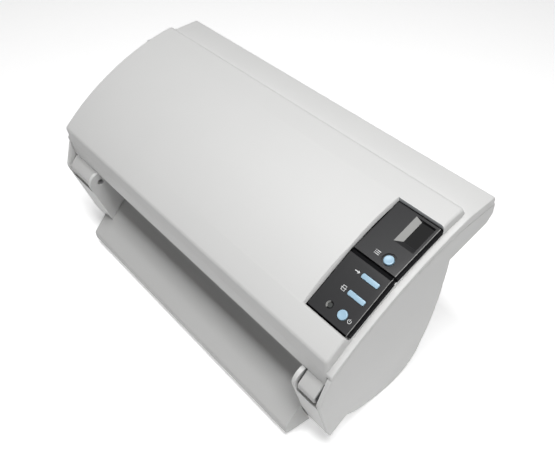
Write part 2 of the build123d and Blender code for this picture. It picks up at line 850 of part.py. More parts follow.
with BuildPart() as drive_idler_gear:
    with BuildSketch(shaft_plane(drive_idler_centre, gear_x)):
        make_face(gear_outline(drive_idler_teeth, drive_idler_phase))
        Circle(stud_radius + stud_gap, mode=Mode.SUBTRACT)
    extrude(amount=gear_width)
drive_idler_gear.part.label = "drive_idler_gear"
export_step(drive_idler_gear.part, "parts/drive_idler_gear.step")

with BuildPart() as long_idler_gear:
    with BuildSketch(shaft_plane(long_idler_centre, gear_x)):
        make_face(gear_outline(long_idler_teeth, long_idler_phase))
        Circle(stud_radius + stud_gap, mode=Mode.SUBTRACT)
        with PolarLocations(9.2, 6):
            Circle(2.6, mode=Mode.SUBTRACT)
    extrude(amount=gear_width)
long_idler_gear.part.label = "long_idler_gear"
export_step(long_idler_gear.part, "parts/long_idler_gear.step")

with BuildPart() as exit_gear:
    with BuildSketch(shaft_plane(exit_centre, gear_x)):
        make_face(gear_outline(exit_teeth, exit_phase))
        Circle(shaft_radius, mode=Mode.SUBTRACT)
    extrude(amount=gear_width)
exit_gear.part.label = "exit_gear"
export_step(exit_gear.part, "parts/exit_gear.step")

with BuildPart() as feed_gear:
    with BuildSketch(shaft_plane(feed_centre, gear_x)):
        make_face(gear_outline(feed_teeth, feed_phase))
        Circle(shaft_radius, mode=Mode.SUBTRACT)
    extrude(amount=gear_width)
feed_gear.part.label = "feed_gear"
export_step(feed_gear.part, "parts/feed_gear.step")

with BuildPart() as reverse_gear:
    with BuildSketch(shaft_plane(reverse_centre, gear_x)):
        make_face(gear_outline(reverse_teeth, reverse_phase))
        Circle(stud_radius + stud_gap, mode=Mode.SUBTRACT)
    extrude(amount=gear_width)
reverse_gear.part.label = "reverse_gear"
export_step(reverse_gear.part, "parts/reverse_gear.step")

with BuildPart() as pick_gear:
    with BuildSketch(shaft_plane(pick_centre, gear_x)):
        make_face(gear_outline(pick_teeth, pick_phase))
        Circle(shaft_radius, mode=Mode.SUBTRACT)
    extrude(amount=gear_width)
pick_gear.part.label = "pick_gear"
export_step(pick_gear.part, "parts/pick_gear.step")

# Studs that carry the idler gears, with a shoulder behind and a head in front of each gear
side_play = 0.15
with BuildPart() as gear_studs:
    for centre in stud_centres:
        with BuildSketch(shaft_plane(centre, gear_x - 1.5)):
            Circle(stud_radius)
        extrude(amount=inner_left - 0.5 - gear_x + 1.5)
        with BuildSketch(shaft_plane(centre, gear_x + gear_width + side_play)):
            Circle(3.2)
        extrude(amount=left_wall_x - gear_x - gear_width - side_play)
        with BuildSketch(shaft_plane(centre, gear_x - side_play - 1.4)):
            Circle(3.2)
        extrude(amount=1.4)
gear_studs.part.label = "gear_studs"
export_step(gear_studs.part, "parts/gear_studs.step")

# Stepper motor with its rotor shaft and screws
motor_left_x = inner_left + 0.2
with BuildPart() as feed_motor:
    with BuildSketch(shaft_plane(motor_centre, motor_left_x)):
        RectangleRounded(motor_size, motor_size, 4)
    extrude(amount=motor_length)
    with BuildSketch(shaft_plane(motor_centre, motor_left_x - 2.4)):
        Circle(motor_boss)
    extrude(amount=2.4)
    with BuildSketch(shaft_plane(motor_centre, motor_left_x - 2.4)):
        Circle(2.5 + running_gap)
    extrude(amount=motor_length - 2, mode=Mode.SUBTRACT)
    with BuildSketch(shaft_plane(motor_centre, motor_left_x)):
        with GridLocations(motor_bolt, motor_bolt, 2, 2):
            Circle(screw_radius)
    extrude(amount=6, mode=Mode.SUBTRACT)
feed_motor.part.label = "feed_motor"
export_step(feed_motor.part, "parts/feed_motor.step")

with BuildPart() as motor_shaft:
    with BuildSketch(shaft_plane(motor_centre, gear_x - 1)):
        Circle(2.5)
    extrude(amount=motor_left_x + motor_length - 5.5 - gear_x + 1)
motor_shaft.part.label = "motor_shaft"
export_step(motor_shaft.part, "parts/motor_shaft.step")

with BuildPart() as motor_screws:
    with BuildSketch(shaft_plane(motor_centre, left_wall_x - 1.5)):
        with GridLocations(motor_bolt, motor_bolt, 2, 2):
            Circle(2.3)
    extrude(amount=1.5)
    with BuildSketch(shaft_plane(motor_centre, left_wall_x - 0.2)):
        with GridLocations(motor_bolt, motor_bolt, 2, 2):
            Circle(screw_radius)
    extrude(amount=wall + 5)
motor_screws.part.label = "motor_screws"
export_step(motor_screws.part, "parts/motor_screws.step")

# Main board with its parts, and the sockets behind the rear cover
chips = [(-37, 64, 24, 24), (-5, 64, 14, 10), (21, 68, 14, 10), (21, 54, 14, 10), (63, 66, 18, 18)]
capacitors = [(-79, 83), (-49, 83), (89, 58), (89, 70)]
plug_offsets = [-57, 33, 63]
socket_face = at(back_low_along - 5.5, 0)[0]
board_middle_x = (board_left_x + board_right_x) / 2
board_middle_along = (board_front_along + board_rear_along) / 2
with BuildPart() as main_board:
    with BuildSketch(Plane.XY.offset(foot_height + board_up)):
        with Locations((board_middle_x, foot_y + board_middle_along)):
            Rectangle(board_right_x - board_left_x, board_rear_along - board_front_along)
        for post_x in post_xs:
            for post_along in post_alongs:
                with Locations((post_x, foot_y + post_along)):
                    Circle(1.3, mode=Mode.SUBTRACT)
    extrude(amount=board_thickness)
    with BuildSketch(Plane.XY.offset(foot_height + board_up + board_thickness)):
        for from_middle, along, chip_width, chip_length in chips:
            with Locations((transport_x + from_middle, foot_y + along)):
                Rectangle(chip_width, chip_length)
    extrude(amount=2.2)
    with BuildSketch(Plane.XY.offset(foot_height + board_up + board_thickness)):
        for from_middle, along in capacitors:
            with Locations((transport_x + from_middle, foot_y + along)):
                Circle(4.5)
    extrude(amount=12)
    with BuildSketch(Plane.XY.offset(foot_height + board_up + board_thickness)):
        for from_middle in plug_offsets:
            with Locations((transport_x + from_middle, foot_y + board_front_along + 5.5)):
                Rectangle(20, 5)
    extrude(amount=7)
main_board.part.label = "main_board"
export_step(main_board.part, "parts/main_board.step")

board_top = foot_height + board_up + board_thickness
socket_z = foot_height + socket_up
with BuildPart() as power_inlet:
    with BuildSketch(Plane.XY.offset(board_top)):
        with Locations((inlet_x, socket_face - 7)):
            Rectangle(12, 14)
    extrude(amount=socket_z + 6 - board_top)
    with BuildSketch(Plane.XZ.offset(-socket_face)):
        with Locations((inlet_x, socket_z)):
            Circle(3.2)
    extrude(amount=10, mode=Mode.SUBTRACT)
    with BuildSketch(Plane.XZ.offset(-socket_face + 2)):
        with Locations((inlet_x, socket_z)):
            Circle(1)
    extrude(amount=10)
power_inlet.part.label = "power_inlet"
export_step(power_inlet.part, "parts/power_inlet.step")

with BuildPart() as usb_socket:
    with BuildSketch(Plane.XY.offset(board_top)):
        with Locations((usb_x, socket_face - 8)):
            Rectangle(12, 16)
    extrude(amount=socket_z + 5.5 - board_top)
    with BuildSketch(Plane.XZ.offset(-socket_face)):
        with Locations((usb_x, socket_z)):
            Rectangle(8.5, 7.8)
    extrude(amount=11, mode=Mode.SUBTRACT)
    with BuildSketch(Plane.XZ.offset(-socket_face + 1)):
        with Locations((usb_x, socket_z)):
            Rectangle(5.6, 3.2)
    extrude(amount=11)
usb_socket.part.label = "usb_socket"
export_step(usb_socket.part, "parts/usb_socket.step")

with BuildPart() as board_screws:
    for post_x in post_xs:
        for post_along in post_alongs:
            with BuildSketch(Plane.XY.offset(board_top)):
                with Locations((post_x, foot_y + post_along)):
                    Circle(2.5)
            extrude(amount=1.2)
            with BuildSketch(Plane.XY.offset(board_top - board_thickness)):
                with Locations((post_x, foot_y + post_along)):
                    Circle(screw_radius)
            extrude(amount=board_thickness + 0.2)
board_screws.part.label = "board_screws"
export_step(board_screws.part, "parts/board_screws.step")

# Screws that hold the side covers, put in from inside the walls
with BuildPart() as side_screws:
    for head_x, shank_x in ((inner_right - 1.6, inner_right - 0.2), (inner_left, inner_left - 15.8)):
        with BuildSketch(across(head_x)):
            with Locations(*side_bosses):
                Circle(2.5)
        extrude(amount=1.6)
        with BuildSketch(across(shank_x)):
            with Locations(*side_bosses):
                Circle(screw_radius)
        extrude(amount=16)
side_screws.part.label = "side_screws"
export_step(side_screws.part, "parts/side_screws.step")

# Latch pins, fixed in the walls; the hooks of the feeder latch catch under them
pin_reach = 7.0
with BuildPart() as latch_pins:
    with BuildSketch(shaft_plane(latch_pin, right_wall_x)):
        Circle(latch_pin_radius)
    extrude(amount=pin_reach)
    with BuildSketch(shaft_plane(latch_pin, left_wall_x - pin_reach)):
        Circle(latch_pin_radius)
    extrude(amount=pin_reach)
latch_pins.part.label = "latch_pins"
export_step(latch_pins.part, "parts/latch_pins.step")

# Top cover of the feeder unit
lip_inner = lip_low[0] + 2.6
latch_bore = latch_shaft_radius + running_gap
cover_boss_v = 9.2
frame_boss_us = [(x, u) for u in (18.0, 90.0) for x in (inner_left + 17, inner_right - 26)]
panel_room = 0.3
ledge = 2.0
ledge_depth = 2.5
plate_radius = crown_radius - panel_drop - 0.5
bevel = 28.0
skirt = 4.8
pocket_left = panel_left_x - 3.0


def panel_plane(angle, w):
    """Plane of a control panel plate: X to the right, Y up the slope, w above its top."""
    slope = radians(angle)
    centre = on_circle(crown_centre, plate_radius + w, 90 + angle)
    return Plane(
        origin=((panel_left_x + cover_half) / 2, centre[0], centre[1]),
        x_dir=(1, 0, 0),
        z_dir=(0, -sin(slope), cos(slope)),
    )


def roof_v(u, depth):
    """Height above the path at which the cover's roof is `depth` below its outer face."""
    start = on_path(u, 0)
    over = (start[0] - crown_centre[0], start[1] - crown_centre[1])
    along_normal = -over[0] * sin(path_angle) + over[1] * cos(path_angle)
    reach = (crown_radius - depth) ** 2 - over[0] ** 2 - over[1] ** 2 + along_normal**2
    return sqrt(reach) - along_normal


def raised_outline():
    """Edges of the raised, arched middle of the cover, closed below the lip."""
    low_front = at(lip_low_along - 0.2, lip_low_up - 3)
    low_rear = at(flange_rear_along, lip_low_up - 3)
    middle = on_circle(crown_centre, crown_radius, 112)
    with BuildLine() as outline:
        Polyline(low_front, lip_low, lip_top)
        ThreePointArc(lip_top, middle, crown_rear)
        Polyline(crown_rear, at(flange_rear_along, flange_rear_up), low_rear, low_front)
    return outline.edges()


def flange_outline():
    """Edges of the low side flanges and the flat strip behind, closed below."""
    lip_share = (flange_front_up - lip_low_up) / (lip_top_up - lip_low_up)
    lip_along = lip_low_along + lip_share * (lip_top_along - lip_low_along)
    flange_front = at(lip_along, flange_front_up)
    strip_end = at(strip_rear_along + 2, strip_rear_up - 3)
    strip_low = at(strip_rear_along + 2, lip_low_up - 3)
    low_front = at(lip_low_along - 0.2, lip_low_up - 3)
    with BuildLine() as outline:
        Polyline(low_front, lip_low, flange_front)
        ThreePointArc(
            flange_front,
            at(flange_mid_along, flange_mid_up),
            at(flange_rear_along, flange_rear_up),
        )
        Polyline(
            at(flange_rear_along, flange_rear_up),
            at(strip_rear_along, strip_rear_up),
            strip_end,
            strip_low,
            low_front,
        )
    return outline.edges()


with BuildPart() as top_cover:
    with BuildSketch(across(-cover_half)):
        make_face(raised_outline())
    extrude(amount=cover_width)
    ends = top_cover.faces().sort_by(Axis.X)
    top_edges = ends[0].edges() + ends[-1].edges()
    top_edges = top_edges.filter_by(lambda edge: edge.center().Z > foot_height + lip_low_up + 3)
    cross_edges = top_cover.edges().filter_by(Axis.X)
    cross_edges = cross_edges.filter_by(lambda edge: edge.center().Z > foot_height + lip_top_up - 1)
    cross_edges = cross_edges.filter_by(lambda edge: edge.center().Z != foot_height + flange_rear_up)
    fillet(top_edges.filter_by(lambda edge: edge.length > 8) + cross_edges, edge_round)
    with BuildSketch(across(-side_half)):
        make_face(flange_outline())
    extrude(amount=body_width)
    # Cavity
    with BuildSketch(across(cover_wall - cover_half)):
        make_face(raised_outline())
        offset(amount=-cover_wall, kind=Kind.INTERSECTION)
    extrude(amount=cover_width - 2 * cover_wall, mode=Mode.SUBTRACT)
    with BuildSketch(across(cover_wall - side_half)):
        make_face(flange_outline())
        offset(amount=-cover_wall, kind=Kind.INTERSECTION)
    extrude(amount=body_width - 2 * cover_wall, mode=Mode.SUBTRACT)
    # Ledges under the control panel
    with BuildSketch(across(pocket_left)):
        with BuildLine():
            lower_end = on_circle(crown_centre, crown_radius - 1, 90 + lower_panel_angle + 7)
            upper_end = on_circle(crown_centre, crown_radius - 1, 90 + upper_panel_angle - 6.2)
            lower_in = on_circle(crown_centre, plate_radius - 5.5, 90 + lower_panel_angle + 7)
            upper_in = on_circle(crown_centre, plate_radius - 5.5, 90 + upper_panel_angle - 6.2)
            middle_angle = 90 + (lower_panel_angle + upper_panel_angle) / 2
            outer_middle = on_circle(crown_centre, crown_radius - 1, middle_angle)
            inner_middle = on_circle(crown_centre, plate_radius - 5.5, middle_angle)
            ThreePointArc(lower_end, outer_middle, upper_end)
            Line(upper_end, upper_in)
            ThreePointArc(upper_in, inner_middle, lower_in)
            Line(lower_in, lower_end)
        make_face()
    extrude(amount=cover_half - cover_wall / 2 - pocket_left)
    # Latch ribs and screw bosses
    for rib_x in (left_wall_x - 10, right_wall_x - 5):
        with BuildSketch(across(rib_x)):
            with BuildLine():
                rib_front = on_circle(crown_centre, crown_radius - 1.2, 90 + 10.3)
                rib_rear = on_circle(crown_centre, crown_radius - 1.2, 90 + 7.3)
                rib_middle = on_circle(crown_centre, crown_radius - 1.2, 90 + 8.8)
                ThreePointArc(rib_front, rib_middle, rib_rear)
                rib_foot = latch_axis[1] - 4.2
                Polyline(rib_rear, (rib_rear[0], rib_foot), (rib_front[0], rib_foot), rib_front)
            make_face()
        extrude(amount=3)
    for boss_x, boss_u in frame_boss_us:
        with BuildSketch(path_plane.offset(cover_boss_v)):
            with Locations((boss_x, boss_u)):
                Circle(3.2)
        extrude(amount=roof_v(boss_u, 1.7) - cover_boss_v)
        with BuildSketch(path_plane.offset(cover_boss_v)):
            with Locations((boss_x, boss_u)):
                Circle(screw_radius)
        extrude(amount=8, mode=Mode.SUBTRACT)
    with BuildSketch(shaft_plane(latch_axis, -side_half + 5)):
        Circle(latch_bore)
    extrude(amount=body_width - 10, mode=Mode.SUBTRACT)
    # Everything under the parting line goes, except the lip in front
    with BuildSketch(across(-side_half - 1)):
        make_face(below_parting(90))
        with Locations((lip_inner - 100, part_front[1])):
            Rectangle(200, 400, mode=Mode.SUBTRACT)
    extrude(amount=body_width + 2, mode=Mode.SUBTRACT)
    with BuildSketch(across(-side_half - 1)):
        with Locations((lip_low[0], lip_low[1] - 20)):
            Rectangle(400, 40)
    extrude(amount=body_width + 2, mode=Mode.SUBTRACT)
    for cut_x in (-side_half - 1, cover_half):
        with BuildSketch(across(cut_x)):
            make_face(below_parting(90))
            with Locations((part_front[0] - 2, part_front[1] + seam - 30)):
                Rectangle(30, 60)
        extrude(amount=side_half - cover_half + 1, mode=Mode.SUBTRACT)
    # Recess, openings and skirt room of the two panel plates
    for angle, low_v, high_v in (
        (lower_panel_angle, -panel_length / 2 - panel_room, panel_length / 2 + 1.4),
        (upper_panel_angle, -panel_length / 2 - 1.4, panel_length / 2 + panel_room),
    ):
        plate_width = cover_half - panel_left_x
        with BuildSketch(panel_plane(angle, -panel_thickness)):
            with Locations((-panel_room / 2 + 1, (low_v + high_v) / 2)):
                Rectangle(plate_width + panel_room + 2, high_v - low_v)
        extrude(amount=panel_thickness, mode=Mode.SUBTRACT)
        with BuildSketch(panel_plane(angle, 0)):
            with Locations((-panel_room / 2 + 2, (low_v + high_v) / 2)):
                Rectangle(plate_width + panel_room + 4, high_v - low_v)
        extrude(amount=7, taper=-bevel, mode=Mode.SUBTRACT)
        with BuildSketch(panel_plane(angle, -panel_thickness + 0.5)):
            with Locations((-ledge / 2 - 0.2, 0)):
                Rectangle(plate_width - 2 * ledge - 2.2, panel_length - 2 * ledge)
        extrude(amount=-12, mode=Mode.SUBTRACT)
        with BuildSketch(panel_plane(angle, -skirt - panel_room)):
            with Locations((plate_width / 2 - 0.6, (low_v + high_v) / 2)):
                Rectangle(3.4, high_v - low_v)
        extrude(amount=skirt + panel_room, mode=Mode.SUBTRACT)
    # Window of the release lever
    with BuildSketch(across(-side_half)):
        with BuildLine():
            Polyline(
                at(latch_along - 15.7, latch_up - 2.8),
                at(latch_along - 4.2, latch_up + 0.1),
                at(latch_along - 4.2, latch_up + 4.6),
                at(latch_along - 15.7, latch_up + 3.6),
                close=True,
            )
        make_face()
    extrude(amount=side_half - cover_half + cover_wall + 0.2, mode=Mode.SUBTRACT)
top_cover.part.label = "top_cover"
export_step(top_cover.part, "parts/top_cover.step")

# Hinge arms: rounded blocks on the bushes, with a web up behind the lip
arm_right_x = right_wall_x + arm_gap
arm_end_x = side_half - side_wall - 2.0
web_front = lip_inner + 0.1
web_rear = at(8.0, 0)[0]
web_top = at(0, 94.5)[1]
with BuildPart() as hinge_arms:
    for arm_x, arm_width in (
        (arm_right_x, arm_end_x - arm_right_x),
        (-arm_end_x, left_wall_x - arm_gap + arm_end_x),
    ):
        with BuildSketch(across(arm_x)):
            with Locations(hinge):
                Circle(arm_nose_radius)
            with Locations(((web_front + web_rear) / 2, (hinge[1] + web_top) / 2)):
                Rectangle(web_rear - web_front, web_top - hinge[1])
            with Locations(hinge):
                Circle(bush_outer / 2 + running_gap, mode=Mode.SUBTRACT)
        extrude(amount=arm_width)
hinge_arms.part.label = "hinge_arms"
export_step(hinge_arms.part, "parts/hinge_arms.step")

# Frame of the feeder unit with the upper paper guide
frame_left_x, frame_right_x = inner_left + 2.2, inner_right - 2.2
frame_start, frame_end = 10.0, 140.0
pad_width, pad_length = 26.0, 12.0
pad_pivot_u, pad_pivot_v = 104.0, 7.0
idler_half = half_chord(idler_radius, idler_v - guide_low) + 0.8
idler_us = [exit_at, feed_at]
idler_brackets = [transport_x - 58, transport_x + 58]
with BuildPart() as feeder_frame:
    with BuildSketch(path_plane.offset(guide_gap)):
        with Locations(((frame_left_x + frame_right_x) / 2, (frame_start + frame_end) / 2)):
            Rectangle(frame_right_x - frame_left_x, frame_end - frame_start)
        with BuildSketch(mode=Mode.PRIVATE) as frame_openings:
            guide_openings([upper_glass_station])
            for idler_u in idler_us:
                for x in roller_xs:
                    guide_openings([(x, idler_u, idler_width + 1.4, 2 * idler_half)])
            pad_middle_u = (pick_at + pad_pivot_u) / 2
            pad_span = pad_pivot_u - pick_at
            guide_openings([(transport_x, pad_middle_u - 2, pad_width + 6, pad_span + 16)])
        add(frame_openings.sketch, mode=Mode.SUBTRACT)
    extrude(amount=guide_wall)
    # Side ribs
    with BuildSketch(path_plane.offset(guide_low)):
        with Locations((frame_left_x + 1, 68), (frame_right_x - 1, 68)):
            Rectangle(2, 112)
    extrude(amount=9)
    # Screw bosses, counterbored from below
    with BuildSketch(path_plane.offset(guide_low)):
        with Locations(*frame_boss_us):
            Circle(4.2)
    extrude(amount=cover_boss_v - guide_low - 0.1)
    with BuildSketch(path_plane.offset(guide_gap)):
        with Locations(*frame_boss_us):
            Circle(2.8)
    extrude(amount=5, mode=Mode.SUBTRACT)
    with BuildSketch(path_plane.offset(guide_gap)):
        with Locations(*frame_boss_us):
            Circle(screw_radius)
    extrude(amount=12, mode=Mode.SUBTRACT)
    # Brackets of the idler shafts and of the pad holder
    for bracket_x in idler_brackets:
        for idler_u in idler_us:
            with BuildSketch(path_plane.offset(guide_low)):
                with Locations((bracket_x, idler_u)):
                    Rectangle(3, 8)
            extrude(amount=6)
    for bracket_x in (transport_x - 19.5, transport_x + 19.5):
        with BuildSketch(path_plane.offset(guide_low)):
            with Locations((bracket_x, pad_pivot_u)):
                Rectangle(3, 9)
        extrude(amount=8)
    with BuildSketch(across(idler_brackets[0] - 4)):
        with Locations(exit_idler_centre, feed_idler_centre):
            Circle(idler_shaft_radius + running_gap)
    extrude(amount=idler_brackets[1] - idler_brackets[0] + 8, mode=Mode.SUBTRACT)
    with BuildSketch(across(transport_x - 22)):
        with Locations(on_path(pad_pivot_u, pad_pivot_v)):
            Circle(idler_shaft_radius + running_gap)
    extrude(amount=44, mode=Mode.SUBTRACT)
feeder_frame.part.label = "feeder_frame"
export_step(feeder_frame.part, "parts/feeder_frame.step")

with BuildPart() as frame_screws:
    with BuildSketch(path_plane.offset(guide_gap + 2.9)):
        with Locations(*frame_boss_us):
            Circle(2.5)
    extrude(amount=2.1)
    with BuildSketch(path_plane.offset(guide_gap + 4.9)):
        with Locations(*frame_boss_us):
            Circle(screw_radius)
    extrude(amount=10)
frame_screws.part.label = "frame_screws"
export_step(frame_screws.part, "parts/frame_screws.step")

# Idler rollers over the exit and feed rollers
idler_shaft_x = idler_brackets[0] - 3.0
idler_shaft_length = idler_brackets[1] - idler_brackets[0] + 6.0
with BuildPart() as exit_idlers:
    with BuildSketch(shaft_plane(exit_idler_centre, idler_shaft_x)):
        Circle(idler_shaft_radius)
    extrude(amount=idler_shaft_length)
    for x in roller_xs:
        with BuildSketch(shaft_plane(exit_idler_centre, x - idler_width / 2)):
            Circle(idler_radius)
        extrude(amount=idler_width)
exit_idlers.part.label = "exit_idlers"
export_step(exit_idlers.part, "parts/exit_idlers.step")

with BuildPart() as feed_idlers:
    with BuildSketch(shaft_plane(feed_idler_centre, idler_shaft_x)):
        Circle(idler_shaft_radius)
    extrude(amount=idler_shaft_length)
    for x in roller_xs:
        with BuildSketch(shaft_plane(feed_idler_centre, x - idler_width / 2)):
            Circle(idler_radius)
        extrude(amount=idler_width)
feed_idlers.part.label = "feed_idlers"
export_step(feed_idlers.part, "parts/feed_idlers.step")

# Separation pad on its sprung holder
with BuildPart() as separation_pad:
    with BuildSketch(path_plane.offset(roller_pinch + pinch_gap)):
        with Locations((transport_x, pick_at)):
            RectangleRounded(pad_width, pad_length, 1)
    extrude(amount=2)
separation_pad.part.label = "separation_pad"
export_step(separation_pad.part, "parts/separation_pad.step")

with BuildPart() as pad_holder:
    with BuildSketch(path_plane.offset(roller_pinch + pinch_gap + 2)):
        with Locations((transport_x, (pick_at + pad_pivot_u) / 2 - 3)):
            Rectangle(pad_width + 2, pad_pivot_u - pick_at + 6)
    extrude(amount=2.4)
    with BuildSketch(across(transport_x - 15)):
        with Locations(on_path(pad_pivot_u, pad_pivot_v)):
            Circle(3)
    extrude(amount=30)
    with BuildSketch(across(transport_x - 21.5)):
        with Locations(on_path(pad_pivot_u, pad_pivot_v)):
            Circle(idler_shaft_radius)
    extrude(amount=43)
pad_holder.part.label = "pad_holder"
export_step(pad_holder.part, "parts/pad_holder.step")

# Control panel plates
panel_mid = (panel_left_x + cover_half) / 2
panel_width = cover_half - panel_left_x
button_flange = 1.0
cap_depth = 4.2
flange_depth = 1.2
left_post_x, right_post_x = panel_left_x + 5.5, cover_half - 6.3
panel_posts = [(left_post_x, -15.5), (left_post_x, 15.5), (right_post_x, -15.5)]
small_board = (panel_left_x + 4, cover_half - 4.3, -17, 17)
bar_buttons = [scan_v, send_v]
bar_radius = 1.2
pocket_outer = (window_left_x - 4.4, window_right_x + 0.2, -2.3, 18.3)
pocket_depth = 1.6


def box_at(left, right, low, high):
    """Rectangle on a panel plane between the given x and v limits."""
    with Locations(((left + right) / 2 - panel_mid, (low + high) / 2)):
        Rectangle(right - left, high - low)


with BuildPart() as lower_panel:
    with BuildSketch(panel_plane(lower_panel_angle, -panel_thickness)):
        Rectangle(panel_width, panel_length)
    extrude(amount=panel_thickness)
    with BuildSketch(panel_plane(lower_panel_angle, -skirt)):
        box_at(cover_half - 2, cover_half, -panel_length / 2, panel_length / 2)
    extrude(amount=skirt)
    with BuildSketch(panel_plane(lower_panel_angle, -board_drop)):
        for post_x, post_v in panel_posts:
            with Locations((post_x - panel_mid, post_v)):
                Circle(1.5)
    extrude(amount=board_drop - panel_thickness)
    with BuildSketch(panel_plane(lower_panel_angle, -panel_thickness)):
        for bar_v in bar_buttons:
            with Locations((button_x - panel_mid, bar_v)):
                RectangleRounded(
                    bar_button_length + 2 * button_gap, bar_button_width + 2 * button_gap, bar_radius
                )
        with Locations((button_x - panel_mid, power_v)):
            Circle(round_button / 2 + button_gap)
        with Locations((lamp_x - panel_mid, lamp_v)):
            Circle(lamp_hole / 2)
    extrude(amount=panel_thickness, mode=Mode.SUBTRACT)
    with BuildSketch(panel_plane(lower_panel_angle, -0.8)):
        with Locations((lamp_x - panel_mid, lamp_v)):
            Circle(lamp_hole / 2)
    extrude(amount=1, taper=-40, mode=Mode.SUBTRACT)
lower_panel.part.label = "lower_panel"
export_step(lower_panel.part, "parts/lower_panel.step")

with BuildPart() as upper_panel:
    with BuildSketch(panel_plane(upper_panel_angle, -panel_thickness)):
        Rectangle(panel_width, panel_length)
    extrude(amount=panel_thickness)
    with BuildSketch(panel_plane(upper_panel_angle, -skirt)):
        box_at(cover_half - 2, cover_half, -panel_length / 2, panel_length / 2)
    extrude(amount=skirt)
    with BuildSketch(panel_plane(upper_panel_angle, -board_drop)):
        for post_x, post_v in panel_posts[:2]:
            with Locations((post_x - panel_mid, post_v)):
                Circle(1.5)
    extrude(amount=board_drop - panel_thickness)
    # Sunk display window with sloping sides, and the sunk ring of the round button
    with BuildSketch(panel_plane(upper_panel_angle, 0)):
        box_at(*pocket_outer)
    with BuildSketch(panel_plane(upper_panel_angle, -pocket_depth)):
        box_at(window_left_x, window_right_x, window_low_v, window_high_v)
    loft(mode=Mode.SUBTRACT)
    with BuildSketch(panel_plane(upper_panel_angle, -panel_thickness)):
        box_at(window_left_x, window_right_x, window_low_v, window_high_v)
    extrude(amount=panel_thickness, mode=Mode.SUBTRACT)
    with BuildSketch(panel_plane(upper_panel_angle, -0.7)):
        with Locations((button_x - panel_mid, function_v)):
            Circle(4.5)
    extrude(amount=1, mode=Mode.SUBTRACT)
    with BuildSketch(panel_plane(upper_panel_angle, -panel_thickness)):
        with Locations((button_x - panel_mid, function_v)):
            Circle(round_button / 2 + button_gap)
    extrude(amount=panel_thickness, mode=Mode.SUBTRACT)
upper_panel.part.label = "upper_panel"
export_step(upper_panel.part, "parts/upper_panel.step")

with BuildPart() as display_window:
    with BuildSketch(panel_plane(upper_panel_angle, -panel_thickness)):
        box_at(window_left_x, window_right_x, window_low_v, window_high_v)
    extrude(amount=0.8)
display_window.part.label = "display_window"
export_step(display_window.part, "parts/display_window.step")

with BuildPart() as display_module:
    with BuildSketch(panel_plane(upper_panel_angle, -board_drop)):
        box_at(window_left_x - 2, window_right_x - 1, window_low_v - 1.6, window_high_v - 0.2)
    extrude(amount=board_drop - panel_thickness - 0.2)
display_module.part.label = "display_module"
export_step(display_module.part, "parts/display_module.step")

with BuildPart() as display_board:
    with BuildSketch(panel_plane(upper_panel_angle, -board_drop - board_thickness)):
        box_at(*small_board)
    extrude(amount=board_thickness)
    with BuildSketch(panel_plane(upper_panel_angle, -board_drop)):
        with Locations((button_x - panel_mid, function_v)):
            Circle(1.6)
    extrude(amount=board_drop - cap_depth - 1.2)
display_board.part.label = "display_board"
export_step(display_board.part, "parts/display_board.step")

with BuildPart() as switch_board:
    with BuildSketch(panel_plane(lower_panel_angle, -board_drop - board_thickness)):
        box_at(*small_board)
    extrude(amount=board_thickness)
    with BuildSketch(panel_plane(lower_panel_angle, -board_drop)):
        for switch_v in (power_v, scan_v, send_v):
            with Locations((button_x - panel_mid, switch_v)):
                Circle(1.6)
    extrude(amount=board_drop - cap_depth - 1.2)
switch_board.part.label = "switch_board"
export_step(switch_board.part, "parts/switch_board.step")

with BuildPart() as status_lamp:
    with BuildSketch(panel_plane(lower_panel_angle, -board_drop)):
        with Locations((lamp_x - panel_mid, lamp_v)):
            Circle(lamp_hole / 2 - 0.1)
    extrude(amount=board_drop - 0.9)
status_lamp.part.label = "status_lamp"
export_step(status_lamp.part, "parts/status_lamp.step")

with BuildPart() as function_button:
    with BuildSketch(panel_plane(upper_panel_angle, -cap_depth)):
        with Locations((button_x - panel_mid, function_v)):
            Circle(round_button / 2)
    extrude(amount=cap_depth + button_proud)
    fillet(function_button.edges().sort_by(Axis.Z)[-1], 0.5)
    with BuildSketch(panel_plane(upper_panel_angle, -cap_depth)):
        with Locations((button_x - panel_mid, function_v)):
            Circle(round_button / 2 + button_flange)
    extrude(amount=flange_depth)
function_button.part.label = "function_button"
export_step(function_button.part, "parts/function_button.step")

with BuildPart() as power_button:
    with BuildSketch(panel_plane(lower_panel_angle, -cap_depth)):
        with Locations((button_x - panel_mid, power_v)):
            Circle(round_button / 2)
    extrude(amount=cap_depth + button_proud)
    fillet(power_button.edges().sort_by(Axis.Z)[-1], 0.5)
    with BuildSketch(panel_plane(lower_panel_angle, -cap_depth)):
        with Locations((button_x - panel_mid, power_v)):
            Circle(round_button / 2 + button_flange)
    extrude(amount=flange_depth)
power_button.part.label = "power_button"
export_step(power_button.part, "parts/power_button.step")

with BuildPart() as scan_button:
    with BuildSketch(panel_plane(lower_panel_angle, -cap_depth)):
        with Locations((button_x - panel_mid, scan_v)):
            RectangleRounded(bar_button_length, bar_button_width, bar_radius)
    extrude(amount=cap_depth + button_proud)
    with BuildSketch(panel_plane(lower_panel_angle, -cap_depth)):
        with Locations((button_x - 0.4 - panel_mid, scan_v)):
            Rectangle(bar_button_length, bar_button_width + 2 * button_flange)
    extrude(amount=flange_depth)
scan_button.part.label = "scan_button"
export_step(scan_button.part, "parts/scan_button.step")

with BuildPart() as send_button:
    with BuildSketch(panel_plane(lower_panel_angle, -cap_depth)):
        with Locations((button_x - panel_mid, send_v)):
            RectangleRounded(bar_button_length, bar_button_width, bar_radius)
    extrude(amount=cap_depth + button_proud)
    with BuildSketch(panel_plane(lower_panel_angle, -cap_depth)):
        with Locations((button_x - 0.4 - panel_mid, send_v)):
            Rectangle(bar_button_length, bar_button_width + 2 * button_flange)
    extrude(amount=flange_depth)
send_button.part.label = "send_button"
export_step(send_button.part, "parts/send_button.step")

